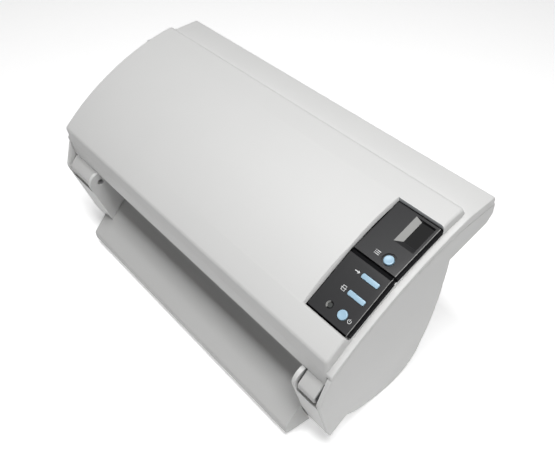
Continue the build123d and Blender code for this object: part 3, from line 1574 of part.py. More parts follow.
# Feeder latch: a shaft with two hooks, drawn engaged and turned to its released place
latch_left_x = 7.5 - side_half
latch_right_x = side_half - 13.5
hub_radius = 4.2
claw_up = latch_pin_up - latch_pin_radius - 0.7
hook_points = [
    at(latch_along - 3, latch_up + 2),
    at(latch_along + 3, latch_up - 1),
    at(latch_pin_along + 1, latch_pin_up + 6),
    at(latch_pin_along - 2.7, latch_pin_up + 3),
    at(latch_pin_along - 2.7, claw_up),
    at(latch_pin_along + 4, claw_up),
    at(latch_pin_along + 4, latch_pin_up - 6),
    at(latch_pin_along - 6, latch_pin_up - 6),
    at(latch_pin_along - 6, latch_pin_up + 5),
    at(latch_along - 6, latch_up - 1),
]


def turned(point):
    """The point turned about the latch axis from the engaged to the released place."""
    turn = radians(-latch_turn)
    y = point[0] - latch_axis[0]
    z = point[1] - latch_axis[1]
    return (
        latch_axis[0] + y * cos(turn) - z * sin(turn),
        latch_axis[1] + y * sin(turn) + z * cos(turn),
    )


with BuildPart() as latch_shaft:
    with BuildSketch(shaft_plane(latch_axis, latch_left_x)):
        Circle(latch_shaft_radius)
    extrude(amount=latch_right_x - latch_left_x)
    for hook_x in (hook_left_x, hook_right_x):
        with BuildSketch(across(hook_x)):
            with BuildLine():
                Polyline(*[turned(point) for point in hook_points], close=True)
            make_face()
            with Locations(latch_axis):
                Circle(hub_radius)
        extrude(amount=hook_thickness)
latch_shaft.part.label = "latch_shaft"
export_step(latch_shaft.part, "parts/latch_shaft.step")

lever_centre = turned(at(latch_along - lever_reach, latch_up))
lever_width = 8.0
lever_thickness = 2.0
with BuildPart() as release_lever:
    with BuildSketch(across(latch_left_x)):
        with Locations(latch_axis):
            Circle(hub_radius)
            Circle(latch_shaft_radius, mode=Mode.SUBTRACT)
        with BuildLine():
            arm_rise = turned(shifted(latch_axis, lever_thickness / 2))
            arm_fall = turned(shifted(latch_axis, -lever_thickness / 2))
            arm_reach = hub_radius - 0.6
            arm_along = turned((latch_axis[0] - arm_reach, latch_axis[1]))
            reach_y = arm_along[0] - latch_axis[0]
            reach_z = arm_along[1] - latch_axis[1]
            Polyline(
                (arm_rise[0] + reach_y, arm_rise[1] + reach_z),
                (arm_fall[0] + reach_y, arm_fall[1] + reach_z),
                shifted(lever_centre, -lever_thickness / 2),
                shifted(lever_centre, lever_thickness / 2),
                close=True,
            )
        make_face()
    extrude(amount=2.6)
    with BuildSketch(across(-side_half + 0.6)):
        with Locations(Location((lever_centre[0], lever_centre[1]), lever_slope - latch_turn)):
            RectangleRounded(lever_width, lever_thickness, 0.6)
    extrude(amount=side_half - 0.6 + latch_left_x + 2.6)
release_lever.part.label = "release_lever"
export_step(release_lever.part, "parts/release_lever.step")
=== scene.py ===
import json
from math import acos, atan2, cos, degrees, hypot, pi, radians, sin, tan

import bmesh
import bpy
import numpy
from mathutils import Matrix, Vector


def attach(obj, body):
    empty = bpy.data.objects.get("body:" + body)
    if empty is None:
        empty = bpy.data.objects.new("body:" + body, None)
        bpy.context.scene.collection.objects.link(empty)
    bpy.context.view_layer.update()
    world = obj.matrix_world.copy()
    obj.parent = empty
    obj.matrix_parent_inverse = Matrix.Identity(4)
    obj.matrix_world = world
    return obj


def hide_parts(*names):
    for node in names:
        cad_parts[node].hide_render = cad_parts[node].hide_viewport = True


bl_info = {
    "name": "Desktop sheet-fed scanner",
    "version": (1, 0, 0),
    "blender": (4, 5, 0),
    "location": "View3D > Sidebar > Scanner",
    "description": "Builds the visible pieces of a desktop document scanner around its solid model",
    "category": "Object",
}

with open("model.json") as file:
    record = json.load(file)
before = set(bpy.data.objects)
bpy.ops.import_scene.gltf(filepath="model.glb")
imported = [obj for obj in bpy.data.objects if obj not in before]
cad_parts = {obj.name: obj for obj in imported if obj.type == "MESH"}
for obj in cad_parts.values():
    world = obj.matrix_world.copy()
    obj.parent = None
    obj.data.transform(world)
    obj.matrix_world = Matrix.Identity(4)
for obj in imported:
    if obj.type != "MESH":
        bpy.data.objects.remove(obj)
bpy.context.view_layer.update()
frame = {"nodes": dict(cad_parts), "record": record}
NODES = frame["nodes"]

MM = 0.001
WELD = 1e-6

# Datum of the side outline: along is measured rearwards from the front foot tip of the side
# covers, up is measured from the lowest point of the rounded belly, both in millimetres
FOOT_Y = -60.25
FOOT_HEIGHT = 1.5
FOOT_TIP = (0.0, 13.0)
NOSE_RADIUS = 9.5
SIDE_HALF = 150.5
COVER_HALF = 146.5
WALL = 2.5
SEAM = 0.6
PART_FRONT = (-6.5, 93.5)
STRIP_UP = 151.0
SEAT_UP = 143.3
HINGE = (-4.5, 72.0)
BLOCK_RADIUS = 8.8
BORE_RADIUS = 4.05
LIP_UP = 82.0
CROWN_CENTRE = (124.987, -46.157)
CROWN_RADIUS = 204.787
PANEL_LEFT = 114.0
PANEL_MIDDLE = (PANEL_LEFT + COVER_HALF) / 2
PLATE_RADIUS = CROWN_RADIUS - 3.0
LOWER_ANGLE, UPPER_ANGLE = 29.4, 17.2
PLATE_LENGTH = 41.0
PLATE_UNDER = -2.4
SKIRT_WIDTH = 1.4
BUTTON_X = 135.6
BUTTON_VS = {"power": -12.0, "scan": 0.5, "send": 12.9, "function": -14.0}
BUTTON_HOLE = 3.4
LAMP_PLACE = (125.6, -12.0)
WINDOW = (133.4, 143.0, 1.2, 17.8)
TRAY_DROP = [(9.3, 75.9), (12.0, 43.2)]
TRAY_EDGE = [(-18.0, 13.2), (-18.0, 6.0), (-15.0, 2.0)]
TRAY_ROUND = (3.2, 6)
WING_TOP = (-3.95, 27.25)
PATH_START = (2.0, 75.5)
PATH_ANGLE = atan2(142.0 - 75.5, 134.0 - 2.0)
TRANSPORT_X = 7.0
VENT_MIDDLE = (40.0, 74.0)
VENT_PITCH = (18.0, 5.0)
VENT_COLUMNS, VENT_ROWS = 9, 6
# Half the length of a cutter that reaches past everything
PAST = 160


# ---- Places -------------------------------------------------------------------------------


def at(along, up):
    """World (y, z) in metres of a point given by the outline's datum."""
    return ((FOOT_Y + along) * MM, (FOOT_HEIGHT + up) * MM)


def round_point(centre, radius, angle):
    """Point on a circle in the datum, by its angle in degrees from the rear towards up."""
    turn = radians(angle)
    return (centre[0] + radius * cos(turn), centre[1] + radius * sin(turn))


def arc(first, middle, last, steps):
    """Points of the arc through three datum points, both ends included."""
    (ax, ay), (bx, by), (cx, cy) = first, middle, last
    d = 2 * (ax * (by - cy) + bx * (cy - ay) + cx * (ay - by))
    a2, b2, c2 = ax**2 + ay**2, bx**2 + by**2, cx**2 + cy**2
    ux = (a2 * (by - cy) + b2 * (cy - ay) + c2 * (ay - by)) / d
    uy = (a2 * (cx - bx) + b2 * (ax - cx) + c2 * (bx - ax)) / d
    radius = hypot(ax - ux, ay - uy)
    start, half, end = (atan2(y - uy, x - ux) for x, y in (first, middle, last))
    turn = (end - start) % (2 * pi)
    if (half - start) % (2 * pi) > turn:
        turn -= 2 * pi
    angles = [start + turn * i / steps for i in range(steps + 1)]
    return [(ux + radius * cos(angle), uy + radius * sin(angle)) for angle in angles]


def rounded(points, radius, steps=5):
    """The open polyline with its inner corners rounded."""
    result = [points[0]]
    for before, corner, after in zip(points, points[1:], points[2:]):
        corner = Vector(corner)
        first = Vector(before) - corner
        second = Vector(after) - corner
        half = acos(first.normalized().dot(second.normalized())) / 2
        reach = 1.1 * radius / max(0.2, tan(half))
        reach = min(reach, first.length * 0.45, second.length * 0.45)
        start = corner + first.normalized() * reach
        end = corner + second.normalized() * reach
        for i in range(steps + 1):
            t = i / steps
            result.append(tuple(start * (1 - t) ** 2 + corner * 2 * t * (1 - t) + end * t**2))
    return result + [points[-1]]


def slope_matrix(start, angle, x=0.0):
    """Matrix of a plane from a datum point: X across, Y up the slope, Z out of its face."""
    y, z = at(*start)
    rows = ((1, 0, 0), (0, cos(angle), -sin(angle)), (0, sin(angle), cos(angle)))
    return Matrix.Translation((x * MM, y, z)) @ Matrix(rows).to_4x4()


def panel_matrix(angle):
    """Matrix of a panel plate's plane, by its slope in degrees."""
    start = round_point(CROWN_CENTRE, PLATE_RADIUS, 90 + angle)
    return slope_matrix(start, radians(angle), PANEL_MIDDLE)


def on_panel(plane, x, v):
    """Matrix of a place on a panel plate, x given in world millimetres."""
    return plane @ Matrix.Translation(((x - PANEL_MIDDLE) * MM, v * MM, 0))


# ---- Mesh helpers -------------------------------------------------------------------------


def new_object(name, mesh_data):
    """Object at the origin that carries the mesh."""
    piece = bpy.data.objects.new(name, mesh_data)
    bpy.context.scene.collection.objects.link(piece)
    return piece


def from_bmesh(name, bm):
    """Object made of a finished bmesh."""
    bmesh.ops.recalc_face_normals(bm, faces=bm.faces)
    mesh_data = bpy.data.meshes.new(name)
    bm.to_mesh(mesh_data)
    bm.free()
    return new_object(name, mesh_data)


def loft(name, first, last):
    """Solid between two rings of as many points, closed by a face at each end."""
    bm = bmesh.new()
    one, two = ([bm.verts.new(point) for point in ring] for ring in (first, last))
    for i in range(len(one)):
        j = (i + 1) % len(one)
        bm.faces.new((one[i], one[j], two[j], two[i]))
    bm.faces.new(one)
    bm.faces.new(two)
    return from_bmesh(name, bm)


def prism(name, outline, low_x, high_x):
    """Solid between two X values whose section is a closed outline of datum points."""
    return loft(name, *([(x * MM, *at(*point)) for point in outline] for x in (low_x, high_x)))


def bar(name, matrix, section, low, high):
    """Solid along the Y of a plane, whose section is a closed outline of (world x, height)."""
    rings = [[Vector((x - PANEL_MIDDLE, v, z)) for x, z in section] for v in (low, high)]
    return loft(name, *([matrix @ (point * MM) for point in ring] for ring in rings))


def frustum(name, matrix, lower, upper, low, high):
    """Solid between two rectangles (left, right, low v, high v) at two heights over a plane."""
    levels = ((lower, low), (upper, high))
    rings = [[Vector((*point, level)) for point in rectangle(*box)] for box, level in levels]
    return loft(name, *([matrix @ (point * MM) for point in ring] for ring in rings))


def plate(name, matrix, outline, low, high, grow=0.0):
    """Solid on a plane: outline in millimetres, from `low` to `high` above it.

    `grow` moves the outline's upper copy outwards from the outline's middle."""
    middle = [(min(row) + max(row)) / 2 for row in zip(*outline)]
    rings = []
    for level, spread in ((low, 0.0), (high, grow)):
        ring = []
        for point in outline:
            moved = [p + ((p > m) - (p < m)) * spread for p, m in zip(point, middle)]
            ring.append(matrix @ (Vector((*moved, level)) * MM))
        rings.append(ring)
    return loft(name, *rings)


def turned(name, matrix, profile, steps=48):
    """Solid of revolution about the Z of a plane, from a profile of (radius, height)."""
    bm = bmesh.new()
    rings = []
    for radius, level in profile:
        angles = [2 * pi * i / steps for i in range(steps if radius else 1)]
        places = [Vector((radius * cos(a), radius * sin(a), level)) * MM for a in angles]
        rings.append([bm.verts.new(matrix @ place) for place in places])
    for one, two in zip(rings, rings[1:]):
        for i in range(steps):
            j = (i + 1) % steps
            if len(one) == 1:
                bm.faces.new((one[0], two[i], two[j]))
            elif len(two) == 1:
                bm.faces.new((one[i], one[j], two[0]))
            else:
                bm.faces.new((one[i], one[j], two[j], two[i]))
    return from_bmesh(name, bm)


def side_normals(before, here, after):
    """Unit normal at a corner of a line, and how far it stretches to keep a wall's width."""
    first = (here - before).normalized()
    second = (after - here).normalized()
    left = Vector((-first.y, first.x))
    normal = (left + Vector((-second.y, second.x))).normalized()
    return normal, 1 / max(0.35, normal.dot(left))


def ribbon(points, thickness):
    """Closed outline of a wall: the open line and a copy of it moved to its left."""
    line = [Vector(point) for point in points]
    before = [2 * line[0] - line[1]] + line[:-1]
    after = line[1:] + [2 * line[-1] - line[-2]]
    moved = []
    for corner in zip(before, line, after):
        normal, stretch = side_normals(*corner)
        moved.append(tuple(corner[1] + normal * thickness * stretch))
    return list(points) + moved[::-1]


def inset(outline, distance):
    """Closed outline moved inwards by a distance."""
    following = outline[1:] + outline[:1]
    area = sum(a[0] * b[1] - b[0] * a[1] for a, b in zip(outline, following))
    turn = 1 if area > 0 else -1
    result = []
    for corner in zip(outline[-1:] + outline[:-1], outline, following):
        before, here, after = (Vector(point) for point in corner)
        normal, stretch = side_normals(before, here, after)
        result.append(tuple(here + normal * turn * distance * stretch))
    return result


def rectangle(left, right, low, high, corner=0.0, steps=4):
    """Outline of a rectangle on a panel plane, x given in world millimetres."""
    left -= PANEL_MIDDLE
    right -= PANEL_MIDDLE
    if corner == 0:
        return [(left, low), (right, low), (right, high), (left, high)]
    points = []
    for x, y, start in (
        (right - corner, low + corner, -90),
        (right - corner, high - corner, 0),
        (left + corner, high - corner, 90),
        (left + corner, low + corner, 180),
    ):
        angles = [radians(start + 90 * i / steps) for i in range(steps + 1)]
        points += [(x + corner * cos(angle), y + corner * sin(angle)) for angle in angles]
    return points


def disc(x, v, radius, steps=40):
    """Outline of a circle on a panel plane, x given in world millimetres."""
    angles = [2 * pi * i / steps for i in range(steps)]
    return [(x - PANEL_MIDDLE + radius * cos(a), v + radius * sin(a)) for a in angles]


def drop_object(piece):
    """Removes an object and its mesh."""
    old = piece.data
    bpy.data.objects.remove(piece)
    bpy.data.meshes.remove(old)


def bake(piece):
    """Turns the piece's modifiers into plain mesh."""
    depsgraph = bpy.context.evaluated_depsgraph_get()
    result = bpy.data.meshes.new_from_object(piece.evaluated_get(depsgraph))
    piece.modifiers.clear()
    old = piece.data
    piece.data = result
    bpy.data.meshes.remove(old)
    return piece


def modified(piece, kind, **settings):
    """Runs one modifier on the piece and bakes it."""
    modifier = piece.modifiers.new("step", kind)
    for key, value in settings.items():
        setattr(modifier, key, value)
    return bake(piece)


def bevel(piece, width, segments=3, angle=30.0):
    """Rounds every edge sharper than the angle."""
    return modified(
        piece,
        "BEVEL",
        width=width * MM,
        segments=segments,
        limit_method="ANGLE",
        angle_limit=radians(angle),
    )


def combine(piece, tools, operation="DIFFERENCE"):
    """Cuts or joins solids, and deletes the tools."""
    for tool in tools:
        modified(piece, "BOOLEAN", operation=operation, solver="EXACT", object=tool)
        drop_object(tool)
    return piece


def smooth(piece, angle=35.0):
    """Smooth faces, with sharp edges where they meet more steeply than the angle."""
    piece.data.shade_smooth()
    piece.data.set_sharp_from_angle(angle=radians(angle))
    return piece


def merged_node(node_name):
    """Copy of a node's mesh with its double vertices merged."""
    bm = bmesh.new()
    bm.from_mesh(NODES[node_name].data)
    bmesh.ops.remove_doubles(bm, verts=bm.verts, dist=WELD)
    return bm


def dressed(node_name, width):
    """Copy of a node's solid with its edges rounded."""
    bm = merged_node(node_name)
    bmesh.ops.dissolve_limit(bm, angle_limit=radians(0.6), verts=bm.verts, edges=bm.edges)
    return smooth(bevel(from_bmesh(node_name + "_skin", bm), width, 2, 40))


def join(pieces):
    """Adds the meshes of the other pieces to the first one, and deletes them."""
    piece, *others = pieces
    bm = bmesh.new()
    for one in pieces:
        bm.from_mesh(one.data)
    for other in others:
        drop_object(other)
    bm.to_mesh(piece.data)
    bm.free()
    return piece


def finish_piece(piece, body, slot, replaced=(), looks=()):
    """Gives a piece its body and its finishes; the slot's own finish where none is named."""
    piece.data.materials.clear()
    for name in looks or (slot,):
        piece.data.materials.append(finish(name))
    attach(piece, body)
    if replaced:
        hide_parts(*replaced)
    return piece


# ---- Materials ----------------------------------------------------------------------------


def linear(hex_colour):
    """Linear RGBA of an sRGB hex colour."""
    values = [int(hex_colour[i : i + 2], 16) / 255 for i in (1, 3, 5)]
    return (*(v / 12.92 if v <= 0.04045 else ((v + 0.055) / 1.055) ** 2.4 for v in values), 1.0)


def add(tree, kind, settings=None, links=None):
    """Adds a node with its settings and input values, and links outputs to its inputs."""
    node = tree.nodes.new(kind)
    for key, value in (settings or {}).items():
        if key in node.inputs:
            node.inputs[key].default_value = value
        else:
            setattr(node, key, value)
    for key, output in (links or {}).items():
        tree.links.new(output, node.inputs[key])
    return node


def calc(tree, operation, *operands):
    """Result of a math node whose operands are numbers or outputs of other nodes."""
    node = add(tree, "ShaderNodeMath", {"operation": operation})
    for socket, operand in zip(node.inputs, operands):
        if isinstance(operand, float):
            socket.default_value = operand
        else:
            tree.links.new(operand, socket)
    return node.outputs[0]


def material(name, values):
    """New node material and its tree, shader and Object coordinates."""
    made = bpy.data.materials.new(name)
    made.use_nodes = True
    tree = made.node_tree
    shader = tree.nodes["Principled BSDF"]
    for key, value in values.items():
        shader.inputs[key].default_value = value
    coordinates = add(tree, "ShaderNodeTexCoord").outputs["Object"]
    return made, tree, shader, coordinates


def noise(tree, coordinates, size_mm, detail, roughness):
    """Noise texture whose pattern has a size in millimetres."""
    settings = {"Scale": 1 / (size_mm * MM), "Detail": detail, "Roughness": roughness}
    return add(tree, "ShaderNodeTexNoise", settings, {"Vector": coordinates}).outputs["Fac"]


def moulded_grain(tree, shader, coordinates, grain_mm, depth_mm, strength):
    """Fine spark-eroded grain of a mould wall, as bump."""
    grain = noise(tree, coordinates, grain_mm, 2.0, 0.6)
    settings = {"Strength": strength, "Distance": depth_mm * MM}
    bump = add(tree, "ShaderNodeBump", settings, {"Height": grain})
    tree.links.new(bump.outputs["Normal"], shader.inputs["Normal"])
    return grain


def toned(tree, shader, coordinates, dark, light, scale_mm):
    """Slow drift between two close tones over the surface."""
    cloud = noise(tree, coordinates, scale_mm, 3.0, 0.55)
    mix = add(tree, "ShaderNodeMix", {"data_type": "RGBA"}, {"Factor": cloud})
    mix.inputs[6].default_value = linear(dark)
    mix.inputs[7].default_value = linear(light)
    tree.links.new(mix.outputs[2], shader.inputs["Base Color"])


def rough_range(tree, shader, texture, low, high):
    """Roughness that follows a texture."""
    limits = {"To Min": low, "To Max": high}
    span = add(tree, "ShaderNodeMapRange", limits, {"Value": texture})
    tree.links.new(span.outputs["Result"], shader.inputs["Roughness"])


def steel(name, values):
    """Ground steel rod: bright metal with fine grinding lines round it."""
    made, tree, shader, coordinates = material(name, values)
    toned(tree, shader, coordinates, "#9FA2A5", "#C2C5C7", 8)
    fine = (3000.0, 60.0, 60.0)
    stretch = add(tree, "ShaderNodeMapping", {"Scale": fine}, {"Vector": coordinates})
    settings = {"Scale": 1.0, "Detail": 2.0}
    lines = add(tree, "ShaderNodeTexNoise", settings, {"Vector": stretch.outputs["Vector"]})
    rough_range(tree, shader, lines.outputs["Fac"], 0.2, 0.4)
    return made


def laminate(name, values):
    """FR-4 board under green solder mask: glossy green with tracks showing through."""
    made, tree, shader, coordinates = material(name, values)
    settings = {"Scale": 180.0, "Mortar Size": 0.06}
    tracks = add(tree, "ShaderNodeTexBrick", settings, {"Vector": coordinates})
    for socket, tone in (("Color1", "#0E5A32"), ("Color2", "#0B4C2A"), ("Mortar", "#2C8A55")):
        tracks.inputs[socket].default_value = linear(tone)
    tree.links.new(tracks.outputs["Color"], shader.inputs["Base Color"])
    moulded_grain(tree, shader, coordinates, 1.5, 0.02, 0.3)
    return made


ZINC = ("#6B6E72", "#8F9296"), 5, (0.8, 0.02, 0.3), (0.32, 0.5), {"Metallic": 0.9, "Roughness": 0.4}

# Each finish: its name, its two tones or the setting that holds them, the size of their drift
# in mm, its grain as (size mm, depth mm, strength), the range of its roughness, shader values
FINISHES = {
    # Pale grey ABS of the covers: a soft, even, slightly warm matt skin
    "pale_abs": (
        "abs_spark_eroded_pale_grey", "shell", 60, (0.7, 0.03, 0.35), (0.5, 0.64), {"IOR": 1.5}
    ),
    # The same ABS painted a slightly deeper grey, as painted shade, on the exit tray and the hinge
    # blocks
    "painted_shade_abs": (
        "abs_spark_eroded_shaded_pale_grey", "front", 60, (0.7, 0.03, 0.35), (0.54, 0.68), {"IOR": 1.5}
    ),
    # Recess wall beside the plates: a paler grey as a painted highlight, the palest band of the
    # cover
    "painted_highlight_abs": (
        "abs_painted_highlight_pale_grey", ("#EFEEEA", "#F6F5F1"), 20, (0.7, 0.02, 0.3), None,
        {"IOR": 1.5, "Roughness": 0.45},
    ),
    # Chassis and guides: black PC-ABS with a coarse matt grain
    "chassis_plastic": (
        "pc_abs_moulded_black", "chassis", 20, (0.8, 0.04, 0.4), (0.4, 0.6), {"IOR": 1.58}
    ),
    # Control panel: satin charcoal ABS, a little glossier than the covers
    "panel_plastic": (
        "abs_satin_charcoal", "panel", 12, (0.5, 0.02, 0.3), (0.32, 0.46), {"IOR": 1.38}
    ),
    # Darker slopes inside the display pocket: smoother charcoal
    "pocket_plastic": (
        "abs_polished_charcoal", "panel", 12, (1.2, 0.004, 0.15), None,
        {"IOR": 1.3, "Roughness": 0.3},
    ),
    # Painted shade: near black, almost no gloss, on the skirts and front ends of the plates, the
    # seat under them and the bottom of their joint
    "painted_shade_black": (
        "abs_shaded_black", ("#08080A", "#0E0E10"), 12, (0.9, 0.008, 0.3), None,
        {"IOR": 1.2, "Roughness": 0.8},
    ),
    # Painted reflection on the left slope of the pocket and left of the lamp's cone, and painted
    # highlight along the edge line of the plates: mid grey
    "painted_highlight_grey": (
        "abs_painted_highlight_grey", ("#8E8E8C", "#989896"), 20, (0.9, 0.008, 0.3), None,
        {"IOR": 1.45, "Roughness": 0.45},
    ),
    # Printed signs: dense white ink with slightly uneven cover
    "ink": (
        "ink_screen_printed_white", ("#D5D7D8", "#F0F1F1"), 1.5, (0.3, 0.005, 0.2), None,
        {"IOR": 1.5, "Roughness": 0.6},
    ),
    # Button caps: polished pale blue ABS
    "button_plastic": (
        "abs_polished_pale_blue", "button", 5, (0.6, 0.01, 0.2), None,
        {"IOR": 1.54, "Roughness": 0.3},
    ),
    # Display window: smoke grey, glossy polycarbonate
    "window_plastic": (
        "polycarbonate_smoke_window", "window", 8, (2.0, 0.005, 0.1), None,
        {"IOR": 1.34, "Roughness": 0.12},
    ),
    # Lamp lens: frosted polycarbonate, dark while unlit
    "lamp_plastic": (
        "polycarbonate_frosted_lens", ("#1C201E", "#2A2E2B"), 2, (0.4, 0.01, 0.3), None,
        {"IOR": 1.58, "Roughness": 0.3},
    ),
    # Zinc-plated metal of the display and of the motor: grey with cloudy plating
    "display_metal": ("steel_zinc_plated", *ZINC),
    "motor_steel": ("steel_zinc_plated", *ZINC),
    # Float glass strip: clear with a faint green body
    "strip_glass": (
        "glass_float", ("#DCE8E4", "#E6F0EC"), 30, None, None,
        {"IOR": 1.52, "Roughness": 0.03, "Transmission Weight": 1.0},
    ),
    # Optical units: black, matt, glass-filled PBT with faint flow marks
    "sensor_plastic": (
        "pbt_glass_filled_black", ("#141517", "#232427"), 9, (0.9, 0.05, 0.5), None,
        {"IOR": 1.55, "Roughness": 0.55},
    ),
    # Rollers, feet and pad: dull black EPDM rubber with a dusty bloom
    "roller_rubber": (
        "epdm_rubber_moulded", ("#17181A", "#2A2B2D"), 6, (0.35, 0.03, 0.5), None,
        {"IOR": 1.5, "Roughness": 0.85},
    ),
    # Gears and idlers: natural acetal, milky white and slightly waxy
    "gear_plastic": (
        "acetal_moulded_natural", ("#D9D6CB", "#EAE8DF"), 10, (0.6, 0.01, 0.2), None,
        {
            "IOR": 1.48, "Roughness": 0.36,
            "Subsurface Weight": 0.15, "Subsurface Radius": (0.002, 0.002, 0.0015),
        },
    ),
    # Release lever: mid-grey acetal; on the rear slope of the panel recess the same grey is painted
    # shade
    "lever_plastic": (
        "acetal_mid_grey", ("#8C8F91", "#9A9D9F"), 5, (0.5, 0.02, 0.3), None,
        {"IOR": 1.48, "Roughness": 0.4},
    ),
}
MADE = {}


def made_finish(slot):
    """New material of a finish."""
    if slot == "shaft_steel":
        return steel("steel_ground", {"Metallic": 1.0, "Roughness": 0.28})
    if slot == "board_laminate":
        return laminate("fr4_green_solder_mask", {"IOR": 1.55, "Roughness": 0.3})
    name, tones, drift, grain, rough, values = FINISHES[slot]
    if isinstance(tones, str):
        colours = bpy.context.scene.scanner_colours
        tones = (getattr(colours, tones + "_shade"), getattr(colours, tones))
    made, tree, shader, coordinates = material(name, values)
    toned(tree, shader, coordinates, *tones, drift)
    if grain:
        texture = moulded_grain(tree, shader, coordinates, *grain)
        if rough:
            rough_range(tree, shader, texture, *rough)
    return made


def finish(slot):
    """The material of a finish, made once."""
    if slot not in MADE:
        MADE[slot] = made_finish(slot)
    return MADE[slot]


# ---- Geometry Nodes -----------------------------------------------------------------------


def new_tree(name, sizes):
    """Geometry tree with points, a material and named sizes, and its first and last node."""
    tree = bpy.data.node_groups.new(name, "GeometryNodeTree")
    tree.interface.new_socket("Geometry", in_out="INPUT", socket_type="NodeSocketGeometry")
    tree.interface.new_socket("Material", in_out="INPUT", socket_type="NodeSocketMaterial")
    for label in sizes:
        kind = "NodeSocketInt" if label.startswith("Number") else "NodeSocketFloat"
        tree.interface.new_socket(label, in_out="INPUT", socket_type=kind)
    tree.interface.new_socket("Geometry", in_out="OUTPUT", socket_type="NodeSocketGeometry")
    return tree, add(tree, "NodeGroupInput"), add(tree, "NodeGroupOutput")


def combined(tree, **parts):
    """Vector made of outputs."""
    return add(tree, "ShaderNodeCombineXYZ", {}, parts).outputs[0]


def merged(tree, first, second):
    """Two geometries as one."""
    both = add(tree, "GeometryNodeJoinGeometry", {}, {"Geometry": first})
    tree.links.new(second, both.inputs["Geometry"])
    return both.outputs["Geometry"]


def scatter(tree, start, end, shape):
    """Ends a tree: the shape on every point, with its Z along the point's own axis."""
    settings = {"data_type": "FLOAT_VECTOR", "Name": "axis"}
    axis = add(tree, "GeometryNodeInputNamedAttribute", settings)
    turn = add(
        tree, "FunctionNodeAlignRotationToVector", {"axis": "Z"}, {"Vector": axis.outputs[0]}
    )
    links = {"Points": start.outputs["Geometry"], "Instance": shape, "Rotation": turn.outputs[0]}
    placed = add(tree, "GeometryNodeInstanceOnPoints", {}, links)
    real = add(tree, "GeometryNodeRealizeInstances", {}, {"Geometry": placed.outputs[0]})
    links = {"Geometry": real.outputs[0], "Material": start.outputs["Material"]}
    painted = add(tree, "GeometryNodeSetMaterial", {}, links)
    tree.links.new(painted.outputs[0], end.inputs["Geometry"])
    return tree


def grown(name, tree, points, axes, sizes, slot):
    """Plain mesh that a tree makes on the points, with the modifier gone."""
    mesh_data = bpy.data.meshes.new(name)
    mesh_data.from_pydata([tuple(point) for point in points], [], [])
    attribute = mesh_data.attributes.new("axis", "FLOAT_VECTOR", "POINT")
    for row, axis in zip(attribute.data, axes):
        row.vector = axis
    piece = new_object(name, mesh_data)
    modifier = piece.modifiers.new("grown", "NODES")
    modifier.node_group = tree
    wanted = dict(sizes, Material=finish(slot))
    for item in tree.interface.items_tree:
        if item.in_out == "INPUT" and item.name in wanted:
            modifier[item.identifier] = wanted[item.name]
    return smooth(bake(piece))


def screw_tree():
    """Cross-recess screw on every point: shank, head and the recess cut into it."""
    labels = ("Head radius", "Head height", "Shank radius", "Shank length", "Slot width")
    tree, start, end = new_tree("screws", labels)
    radius, height, shank_radius, shank_length, slot = (start.outputs[label] for label in labels)

    def rod(corners, rod_radius, length, middle):
        links = {"Radius": rod_radius, "Depth": length}
        shape = add(tree, "GeometryNodeMeshCylinder", {"Vertices": corners}, links)
        links = {"Geometry": shape.outputs["Mesh"], "Translation": combined(tree, Z=middle)}
        return add(tree, "GeometryNodeTransform", {}, links).outputs["Geometry"]

    head = rod(28, radius, height, calc(tree, "MULTIPLY", height, -0.5))
    reach = calc(tree, "MULTIPLY", radius, 1.25)
    cut = add(tree, "GeometryNodeMeshBoolean", {"operation": "DIFFERENCE", "solver": "EXACT"})
    tree.links.new(head, cut.inputs["Mesh 1"])
    for x, y in ((reach, slot), (slot, reach)):
        box = add(tree, "GeometryNodeMeshCube", {}, {"Size": combined(tree, X=x, Y=y, Z=height)})
        tree.links.new(box.outputs["Mesh"], cut.inputs["Mesh 2"])
    sunk = calc(tree, "MULTIPLY", height, -0.98)
    middle = calc(tree, "MULTIPLY_ADD", shank_length, -0.5, sunk)
    shank = rod(20, shank_radius, shank_length, middle)
    return scatter(tree, start, end, merged(tree, cut.outputs["Mesh"], shank))


def block_tree():
    """Small block on every point, turned to the point's own axis."""
    tree, start, end = new_tree("blocks", ("Width", "Depth", "Height"))
    size = start.outputs
    links = {"Size": combined(tree, X=size["Width"], Y=size["Depth"], Z=size["Height"])}
    block = add(tree, "GeometryNodeMeshCube", {}, links)
    return scatter(tree, start, end, block.outputs["Mesh"])


def tyre_tree():
    """Grooved rubber tyre on every point: a many-toothed disc pulled out to its width."""
    tree, start, end = new_tree("tyres", ("Radius", "Width", "Groove", "Number of corners"))
    size = start.outputs
    links = {"Vertices": size["Number of corners"], "Radius": size["Radius"]}
    flat = add(tree, "GeometryNodeMeshCircle", {"fill_type": "NGON"}, links)
    index = add(tree, "GeometryNodeInputIndex").outputs[0]
    pair = calc(tree, "FLOOR", calc(tree, "DIVIDE", index, 2.0))
    share = calc(tree, "MULTIPLY", calc(tree, "MODULO", pair, 2.0), size["Groove"])
    links = {
        "Vector": add(tree, "GeometryNodeInputPosition").outputs[0],
        "Scale": calc(tree, "SUBTRACT", 1.0, share),
    }
    scaled = add(tree, "ShaderNodeVectorMath", {"operation": "SCALE"}, links)
    links = {"Geometry": flat.outputs["Mesh"], "Position": scaled.outputs[0]}
    toothed = add(tree, "GeometryNodeSetPosition", {}, links).outputs["Geometry"]
    links = {"Mesh": toothed, "Offset Scale": size["Width"]}
    pulled = add(tree, "GeometryNodeExtrudeMesh", {"mode": "FACES"}, links)
    back = add(tree, "GeometryNodeFlipFaces", {}, {"Mesh": toothed})
    both = merged(tree, pulled.outputs["Mesh"], back.outputs["Mesh"])
    closed = add(tree, "GeometryNodeMergeByDistance", {"Distance": WELD}, {"Geometry": both})
    return scatter(tree, start, end, closed.outputs["Geometry"])


# ---- Settings -----------------------------------------------------------------------------


def colour_setting(name, description, value):
    """A colour kept as an sRGB hex string."""
    return bpy.props.StringProperty(name=name, description=description, default=value)


